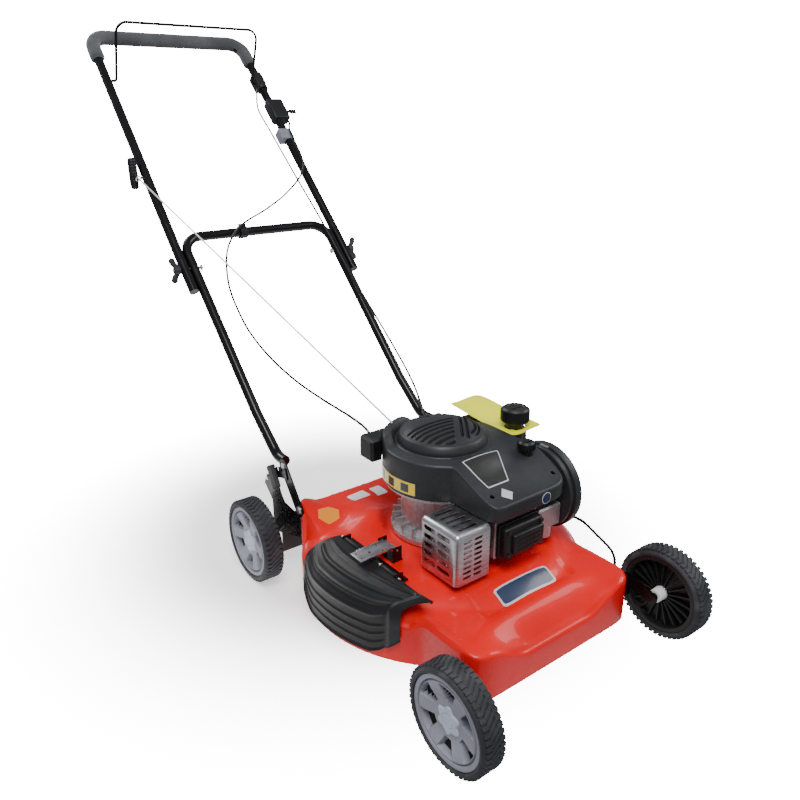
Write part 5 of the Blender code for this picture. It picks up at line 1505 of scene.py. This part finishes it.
def make_wheel(end, side):
    turn, centre, sign = wheel_turn(end, side)
    axis = (sign, 0, 0)
    body = f"wheel_{end}_{side}"
    radii = [0.004 + 0.0705 * k / 88 for k in range(89)]
    around = 240
    # Faces deep in a pocket between the spokes get near-black painted shade instead of the grey plastic.
    pockets = [[spoke_face(r, TAU * i / around)[1] for i in range(around)] for r in radii]
    face = polar_face("face", radii, around, lambda r, a: spoke_face(r, a)[0], turn,
                      lambda k, i: 1 if pockets[k][i] > 0.97 and pockets[min(k + 1, 88)][i] > 0.97 else 0)
    for mat in (GREY_PLASTIC, PAINTED_SHADE):
        face.data.materials.append(mat)
    cap = polar_face("cap", [0.0005 + 0.0272 * k / 40 for k in range(41)], 144,
                     lambda r, a: W - 0.0085 + star_cap(r, a), turn)
    cap.data.materials.append(PALE_PLASTIC)
    barrel = rounded([(0.0743, W - 0.003), (0.0745, W - 0.0025), (0.0752, W - 0.004), (0.0752, -W + 0.002),
                      (0.0665, -W + 0.002), (0.0640, -0.004), (0.015, -0.006), (0.0072, -0.006)], 0.0012, 2)
    angles = [TAU * i / 120 for i in range(120)]
    rings = [[turn @ Vector((r * math.cos(a), r * math.sin(a), z)) for a in angles] for r, z in barrel]
    back = rings_object("back", rings, caps=(False, False))
    back.data.materials.append(BLACK_PLASTIC)
    ribs = ring_of_blocks("ribs", BLACK_PLASTIC, centre, axis, Count=20, Radius=0.0400, Height=-0.0095,
                          Size=(0.047, 0.0022, 0.009))
    sleeve = rounded([(0.0070, -0.0305), (0.0125, -0.0305), (0.0135, -0.008), (0.0070, -0.008)], 0.0010, 2)
    bush = lathe("bush", sleeve, 48, centre, axis, True)
    bush.data.materials.append(WHITE_PLASTIC)
    wheel = joined(f"rim_{end}_{side}", [face, cap, back, ribs, bush])
    keep(wheel, body, (), [f"wheel_{end}_{side}"], 35)

    r = WHEEL_RADIUS - 0.0022
    half = [(0.0756, W - 0.001), (0.0785, W), (r - 0.006, W), (r - 0.0008, W - 0.006), (r, W - 0.010)]
    profile = rounded(half + [(reach, -z) for reach, z in reversed(half)], 0.002, 3)
    casing = lathe("casing", profile, 144, centre, axis, True)
    casing.data.materials.append(RUBBER)
    parts = [casing]
    # Each pitch has a bar across and two shoulder blocks, set off from it
    count = 52
    for number, (height, phase, skew, size) in enumerate((
            (0.0, 0.0, 0.62, (0.0042, 0.0050, 0.0200)), (0.0128, 0.28, 0.0, (0.0050, 0.0066, 0.0105)),
            (-0.0128, -0.28, 0.0, (0.0050, 0.0066, 0.0105)))):
        parts.append(ring_of_blocks(f"tread_{number}", RUBBER, centre, axis, Count=count, Height=height,
                                    Phase=phase, Radius=WHEEL_RADIUS - size[0] / 2 - (0.0002 if number else 0.0004),
                                    Skew=skew, Size=size))
    tyre = joined(f"tread_tyre_{end}_{side}", parts)
    return keep(tyre, body, [RUBBER], [f"tyre_{end}_{side}"], 35)


for end in ("front", "rear"):
    for side in ("left", "right"):
        make_wheel(end, side)
print("wheels done")

# %% [markdown]
# ## Handle tubes
# The two handle halves are bent tubes. Each follows the same run of corners as
# its node, with rounder bends and more sides, and a foam sleeve covers the bar.

# %% Tubes
foot = Vector((0, FOOT.y - 0.092, FOOT.z - 0.027))


def lower_path():
    right = bent([Vector((-LOWER_HALF, foot.y + 0.018, foot.z)),
                  Vector((-LOWER_HALF, foot.y + 0.050, foot.z)),
                  on_handle(-LOWER_HALF, 0.06)], 0.05)[:-1]
    top = bent([on_handle(-LOWER_HALF, 0.06), on_handle(-LOWER_HALF, 0.521), on_handle(LOWER_HALF, 0.521),
                on_handle(LOWER_HALF, 0.06)], 0.045)
    left = [Vector((-p.x, p.y, p.z)) for p in right]
    return right + top + left[::-1]


def upper_corners(low):
    return [on_handle(-UPPER_HALF, low), on_handle(-UPPER_HALF, BOLT_UP + 0.05),
            on_handle(-UPPER_HALF_TOP, HANDLE_LENGTH), on_handle(UPPER_HALF_TOP, HANDLE_LENGTH),
            on_handle(UPPER_HALF, BOLT_UP + 0.05), on_handle(UPPER_HALF, low)]


lower = swept_tube("lower_tube", lower_path(), TUBE, BLACK_PAINT, 32)
keep(lower, "mower", (), ["lower_handle"])
upper = swept_tube("upper_tube", bent(upper_corners(BOLT_UP - 0.0615), 0.055), TUBE, BLACK_PAINT, 32)
keep(upper, "upper_handle", (), ["upper_handle"])


# %% Foam grip
def foam_sleeve():
    """A sleeve with soft rolled ends; it is a little fuller on the bar than in the bends."""
    low = HANDLE_LENGTH - 0.079
    narrow = UPPER_HALF_TOP + (UPPER_HALF - UPPER_HALF_TOP) * 0.079 / (HANDLE_LENGTH - BOLT_UP - 0.05)
    line = bent([on_handle(-narrow, low), on_handle(-UPPER_HALF_TOP, HANDLE_LENGTH),
                 on_handle(UPPER_HALF_TOP, HANDLE_LENGTH), on_handle(narrow, low)], 0.055, 12)
    line = even(line, 0.004)
    sides, rings = 40, []
    total = len(line) - 1
    for k, point in enumerate(line):
        ahead = (line[min(k + 1, total)] - line[max(k - 1, 0)]).normalized()
        side = ahead.cross(OUT).normalized()
        end = min(k, total - k)
        radius = 0.0172 - 0.0050 * (1 - step(end, 0, 2.2)) + 0.0002 * math.sin(k * 0.31)
        rings.append([point + (side * math.cos(TAU * i / sides) + OUT * math.sin(TAU * i / sides)) * radius
                      for i in range(sides)])
    return rings_object("foam_sleeve", rings, caps=(False, False))


foam = foam_sleeve()
keep(foam, "upper_handle", [FOAM], ["foam_grip"])


# %% Bail wire
def bail_wire():
    pivot = BAIL_PIVOT
    reach = UP * math.cos(math.radians(64)) + OUT * math.sin(math.radians(64))
    half = UPPER_HALF_TOP - TUBE - 0.010
    side = Vector((half, 0, 0))
    tip = reach * 0.137
    path = bent([pivot - Vector((half + 0.012, 0, 0)), pivot - side, pivot - side + tip, pivot + side + tip,
                 pivot + side, pivot + Vector((half + 0.009, 0, 0))], 0.026, 12)
    return keep(swept_tube("bail_wire", path, 0.0033, BLACK_PAINT, 20), "bail", (),
                ["bail_lever"])


bail_wire()

# %% [markdown]
# ## Fittings on the handle
# The bail bracket, throttle box and cable clamp are small mouldings round the
# tube, each a rounded body on it; the bail bracket has a saddle.

# %% Bail bracket, throttle and clamp
def saddle(name, x, up_from, up_to, radius, finish):
    """A sleeve round the handle tube."""
    tall = up_to - up_from
    ends = rounded([(0.0112, 0), (radius, 0), (radius, tall), (0.0112, tall)], 0.0015, 3)
    obj = lathe(name, ends, 40, on_handle(x, up_from), tuple(UP), True)
    obj.data.materials.append(finish)
    return obj


def painted_box(low, high, bevel, finish):
    """A box in the handle's slope, with its material."""
    obj = slope_box("part", low, high, bevel)
    obj.data.materials.append(finish)
    return obj


def bail_bracket():
    """The saddle with its two cheeks, which the bail wire turns in."""
    half = upper_half(BAIL_UP)
    parts = [saddle("saddle", half, BAIL_UP - 0.024, BAIL_UP + 0.030, 0.0155, BLACK_PLASTIC),
             painted_box((half - 0.017, BAIL_UP - 0.021, -0.0155), (half - 0.011, BAIL_UP + 0.027, 0.0155),
                         0.0022, BLACK_PLASTIC),
             painted_box((half - 0.013, BAIL_UP - 0.014, 0.010), (half + 0.010, BAIL_UP + 0.020, 0.0160),
                         0.0020, BLACK_PLASTIC)]
    keep(joined("bail_saddle", parts), "upper_handle", [BLACK_PLASTIC], ["bail_bracket"])


bail_bracket()
THROTTLE_AT = JOINT_AT["throttle_pivot"]
THROTTLE_UP = (THROTTLE_AT - FOOT).dot(UP)


def throttle_box():
    up = THROTTLE_UP
    half = upper_half(up)
    low_x, high_x = half - TUBE - 0.003, half + 0.034
    body = painted_box((low_x, up - 0.034, -0.0155), (high_x, up + 0.034, 0.0155), 0.0055, BLACK_PLASTIC)
    slot = slope_box("slot", (half + 0.0165, up - 0.026, -0.0027), (high_x + 0.01, up + 0.026, 0.0027), 0)
    bore = lathe("bore", [(TUBE + 0.0004, 0), (TUBE + 0.0004, 0.12)], 40, on_handle(half, up - 0.06),
                 tuple(UP))
    cut(body, slot, bore)
    ribs = [painted_box((half + 0.010, up - 0.030 + 0.0095 * i, 0.0150),
                        (high_x - 0.004, up - 0.0275 + 0.0095 * i, 0.0160),
                        0.0006, BLACK_PLASTIC) for i in range(7)]
    keep(joined("throttle_box", [body, *ribs]), "upper_handle", [BLACK_PLASTIC],
         ["throttle_housing"], 45)
    face = high_x
    arm = painted_box((half + 0.018, up - 0.004, -0.0014), (face + 0.020, up + 0.004, 0.0014), 0.0009,
                      BLACK_PLASTIC)
    prongs = [painted_box((face + 0.014, up + side * 0.0036 - 0.0024, -0.0028),
                          (0.2788, up + side * 0.0036 + 0.0024, 0.0028),
                          0.0018, BLACK_PLASTIC) for side in (-1, 1)]
    keep(joined("throttle_tip", [arm, *prongs]), "throttle", [BLACK_PLASTIC],
         ["throttle_lever"], 45)


throttle_box()
CLAMP_UP = HANDLE_LENGTH - 0.332


def clamp_block():
    up, half = CLAMP_UP, upper_half(CLAMP_UP)
    body = painted_box((half - TUBE - 0.0138, up - 0.017, -0.0138),
                       (half + TUBE + 0.0028, up + 0.017, 0.0138), 0.003, GREY_PLASTIC)
    bore = lathe("bore", [(TUBE + 0.0004, 0), (TUBE + 0.0004, 0.12)], 40, on_handle(half, up - 0.06),
                 tuple(UP))
    cut(body, bore)
    lip = painted_box((half - TUBE - 0.0136, up - 0.0015, 0.0128),
                      (half + TUBE + 0.0020, up + 0.0015, 0.0146), 0.0006, GREY_PLASTIC)
    keep(joined("clamp_block", [body, lip]), "upper_handle", (), ["cable_clamp"], 45)


clamp_block()

# %% Wing knobs
def wing_knob(side):
    sign = 1 if side == "left" else -1
    inner = UPPER_HALF + TUBE + 0.0003
    out = (sign, 0, 0)
    hub = lathe("hub", rounded([(0.0034, 0.0002), (0.0098, 0.0002), (0.0088, 0.0135), (0.0055, 0.0145),
                                (0, 0.0145)], 0.0012, 3),
                48, on_handle(sign * inner, BOLT_UP), out)
    stud = lathe("stud", [(0, -0.0545), (0.0029, -0.0545), (0.0029, 0.016), (0.0022, 0.0168), (0, 0.0168)],
                 24,
                 on_handle(sign * inner, BOLT_UP), out)
    head = lathe("head", rounded([(0, -0.0523), (0.0064, -0.0523), (0.0064, -0.0494), (0, -0.0494)], 0.0005,
                                 2), 32,
                 on_handle(sign * inner, BOLT_UP), out)
    parts = [hub]
    tilt = math.atan2(UP.z, UP.y) + math.radians(35)
    for wing_side in (-1, 1):
        rings = []
        for k in range(15):
            t = k / 14
            along = wing_side * (0.006 + 0.0225 * t)
            lift = 0.006 + 0.0095 * t + 0.004 * math.sin(t * math.pi)
            tall = (0.0085 - 0.0010 * t) * math.sqrt(max(1 - max((t - 0.72) / 0.28, 0) ** 2, 0.02))
            thick = 0.0030 - 0.0008 * t
            ring = []
            for i in range(20):
                a = TAU * i / 20
                local = Vector((sign * (lift + tall * math.cos(a)), along, thick * math.sin(a)))
                ring.append(Matrix.Translation(on_handle(sign * inner,
                                                         BOLT_UP)) @ Matrix.Rotation(tilt, 4, "X") @ local)
            rings.append(ring)
        parts.append(rings_object("wing", rings))
    for part in parts:
        part.data.materials.append(DARK_PLASTIC)
    for part in (stud, head):
        part.data.materials.append(ZINC)
    keep(joined(f"wing_{side}", [*parts, stud, head]), f"knob_{side}", (),
         [f"wing_knob_{side}"])


wing_knob("left")
wing_knob("right")

# %% [markdown]
# ## Cables and the starter rope
# Two black cables and one rope join the handle to the engine. Both cables end in
# fittings at each end, so they are fixed lengths. They cross the fold between
# the two halves. The rope is three twisted strands.

# %% Cable routes
CABLE = 0.0025
THROTTLE_ROUTE = [
    on_handle(0.232, 0.8615, 0.006), on_handle(0.225, 0.840, 0.020), on_handle(0.2075, 0.804, 0.029),
    on_handle(0.203, 0.715, 0.029), on_handle(0.189, 0.676, 0.029), on_handle(0.155, 0.639, 0.029),
    on_handle(0.095, 0.595, 0.029), on_handle(0.028, 0.558, 0.029), on_handle(-0.038, 0.528, 0.028),
    (-0.070, 0.322, 0.660), (-0.099, 0.300, 0.633), (-0.120, 0.270, 0.605), (-0.142, 0.219, 0.564),
    (-0.153, 0.163, 0.524), (-0.157, 0.100, 0.483), (-0.151, 0.026, 0.444), (-0.137, -0.052, 0.411),
    (-0.120, -0.128, 0.388), (-0.104, -0.201, 0.371), (-0.094, -0.238, 0.357), (-0.090, -0.2590, 0.342)]
BRAKE_ROUTE = [
    on_handle(0.190, 0.9725, 0.012), on_handle(0.174, 0.950, 0.018), on_handle(0.152, 0.890, 0.019),
    on_handle(0.155, 0.821, 0.019), on_handle(0.160, 0.743, 0.019), on_handle(0.165, 0.653, 0.020),
    on_handle(0.174, 0.526, 0.021), on_handle(0.180, 0.388, 0.022), on_handle(0.180, 0.297, 0.030),
    on_handle(0.180, 0.139, 0.048), (0.165, -0.060, 0.350), (0.125, -0.150, 0.315), (0.085, -0.222, 0.301),
    (0.0645, -0.2612, 0.299)]


def path_length(path):
    return sum((b - a).length for a, b in zip(path, path[1:]))


def cable(name, route, node, fold_from, fold_to):
    path = smooth_route(route, 8)
    piece = swept_tube(name, path, CABLE, BLACK_PLASTIC, 16)
    keep(piece, None, (), [node])
    path_length(path)
    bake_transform(piece)
    print(name, "length", round(path_length(path), 3), "m")


cable("throttle_line", THROTTLE_ROUTE, "throttle_cable", on_handle(0, 0.535), on_handle(0, 0.66))
cable("brake_line", BRAKE_ROUTE, "brake_cable", on_handle(0, 0.40), on_handle(0, 0.53))

# %% Starter rope and grip
ROPE_UP = HANDLE_LENGTH - 0.447
ROPE_EYE = on_handle(-upper_half(ROPE_UP) - TUBE - 0.0095, ROPE_UP)
ROPE_START = at_crank(-0.060, 0.078, COWL_TOP + 0.020)
ROPE_ALONG = (ROPE_EYE - ROPE_START).normalized()
ROPE_RADIUS = 0.0021


ROPE_LAY = 0.016


def twisted(name, start, end, radius):
    """Three strands laid round each other, as one closed skin."""
    along = (end - start)
    count = max(int(along.length / 0.0020), 4)
    side = along.cross(Vector((0, 0, 1))).normalized()
    up = side.cross(along).normalized()
    rings = []
    for k in range(count + 1):
        centre = start + along * k / count
        turn = TAU * along.length * k / count / ROPE_LAY
        ring = []
        for i in range(18):
            a = TAU * i / 18
            r = radius * (0.80 + 0.20 * abs(math.cos(3 * (a - turn) / 2)))
            ring.append(centre + side * r * math.cos(a) + up * r * math.sin(a))
        rings.append(ring)
    obj = rings_object(name, rings)
    obj.data.materials.append(ROPE)
    return obj


rope_path = [ROPE_START.lerp(ROPE_EYE, i / 24) for i in range(25)]
rope = twisted("starter_line", ROPE_START, ROPE_EYE, ROPE_RADIUS)
print("starter rope", round(path_length(rope_path), 3), "m")
keep(rope, None, (), ["starter_rope"], 70)
path_length(rope_path)
on_handle(0, 0.40)
on_handle(0, 0.60)
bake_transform(rope)
grip_at = ROPE_EYE + ROPE_ALONG * 0.010
tail_from, tail_to = ROPE_EYE - ROPE_ALONG * 0.001, grip_at + ROPE_ALONG * 0.006
tail = twisted("starter_line_tail", tail_from, tail_to, ROPE_RADIUS * 0.92)
keep(tail, None, (), (), 70)
grip_at + ROPE_ALONG * 0.001
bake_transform(tail)


def pull_grip():
    """A ribbed T-shaped handle, hollow behind, with the rope through its neck."""
    tall = Vector((0, 0.05, 1)).normalized()
    middle = grip_at + ROPE_ALONG * 0.012
    bar = []
    for k in range(61):
        t = k / 60
        s = 2 * t - 1
        belly = 0.0088 + 0.0012 * (1 - s * s) - 0.0035 * max(abs(s) - 0.90, 0) / 0.10
        rib = 0.0006 * (1 if int(t * 22) % 2 else 0) * (1 - step(abs(s), 0.82, 0.86))
        bar.append((belly + rib, s * 0.036))
    bar = [(0, -0.036)] + bar + [(0, 0.036)]
    barrel = lathe("barrel", bar, 36, middle, tuple(tall))
    neck = lathe("neck", rounded([(0.0022, -0.0038), (0.0052, -0.0038), (0.0068, 0.006), (0.0068, 0.012),
                                  (0.0022, 0.012)], 0.001, 3),
                 32, grip_at, tuple(ROPE_ALONG), True)
    for part in (barrel, neck):
        part.data.materials.append(BLACK_PLASTIC)
    keep(joined("pull_grip", [barrel, neck]), "starter_grip", (), ["starter_grip"], 30)


def rope_eye():
    """The wire eye on the handle that the starter rope runs through."""
    across = ROPE_ALONG.cross(Vector((0, 0, 1))).normalized()
    high = across.cross(ROPE_ALONG).normalized()
    loop = [ROPE_EYE + (across * math.cos(TAU * i / 40) + high * math.sin(TAU * i / 40)) * 0.0062
            + ROPE_ALONG * 0.0016 * (i / 20 - 1) for i in range(41)]
    ring = swept_tube("eye_ring", loop, 0.0016, ZINC, 14)
    ends = [ROPE_EYE + Vector((0.0062, 0, 0)), on_handle(-upper_half(ROPE_UP) - TUBE + 0.001, ROPE_UP)]
    post = swept_tube("eye_post", bent(ends, 0.002, 2), 0.0019, ZINC, 14)
    keep(joined("rope_eye", [ring, post]), "upper_handle", (), ["rope_guide"])


pull_grip()
rope_eye()

# %% [markdown]
# ## Nuts, bolts and small steel
# Bolts stand where plates meet: the handle brackets on the deck and on the
# feet, and the engine's flange. The height lever carries a moulded grip.

# %% Bolts
def side_bolts():
    places = []
    for sign in (-1, 1):
        places.append((Vector((sign * 0.2093, CRANK_Y + 0.193, 0.181)), (sign, 0, 0)))
    bolts("bracket_bolts", "mower", places, 0.0062, 0.0034)
    # The height lever sweeps past the feet's bolts, so their heads are low
    low = [(Vector((sign * 0.2093, foot.y, foot.z)), (sign, 0, 0)) for sign in (-1, 1)]
    bolts("foot_bolts", "mower", low, 0.0050, 0.0012)
    flange = [(at_crank(0.091 * math.cos(math.radians(a)), 0.091 * math.sin(math.radians(a)), 0.1772),
               (0, 0, 1))
              for a in (35, 155, 275)]
    bolts("engine_bolts", "mower", flange, 0.0055, 0.005)


side_bolts()

# %% Finishes for the frame's own parts
OWN = {
    "black_enamel": ["handle_bracket_left", "handle_bracket_right", "axle_bracket_left", "height_quadrant",
                     "rear_axle_crank", "front_axle_crank", "link_rod", "height_lever", "blade",
                     "cover_hinge_bracket", "latch_bracket"],
    "black_moulding": ["rear_flap", "spark_plug", "fuel_tank", "oil_filler", "control_cover", "cable_clip"],
    "dark_grey_moulding": ["lever_grip"],
    "zinc_plate": ["cover_hinge_pin", "crankshaft", "blade_bolt"],
    "brushed_steel": ["muffler"],
    "cast_aluminium": ["crankcase", "cylinder_head", "carburettor", "blade_adapter", "flywheel"],
}
for finish, nodes in OWN.items():
    for node in nodes:
        obj = frame["nodes"][node]
        for place in obj.material_slots:
            place.material = bpy.data.materials[finish]
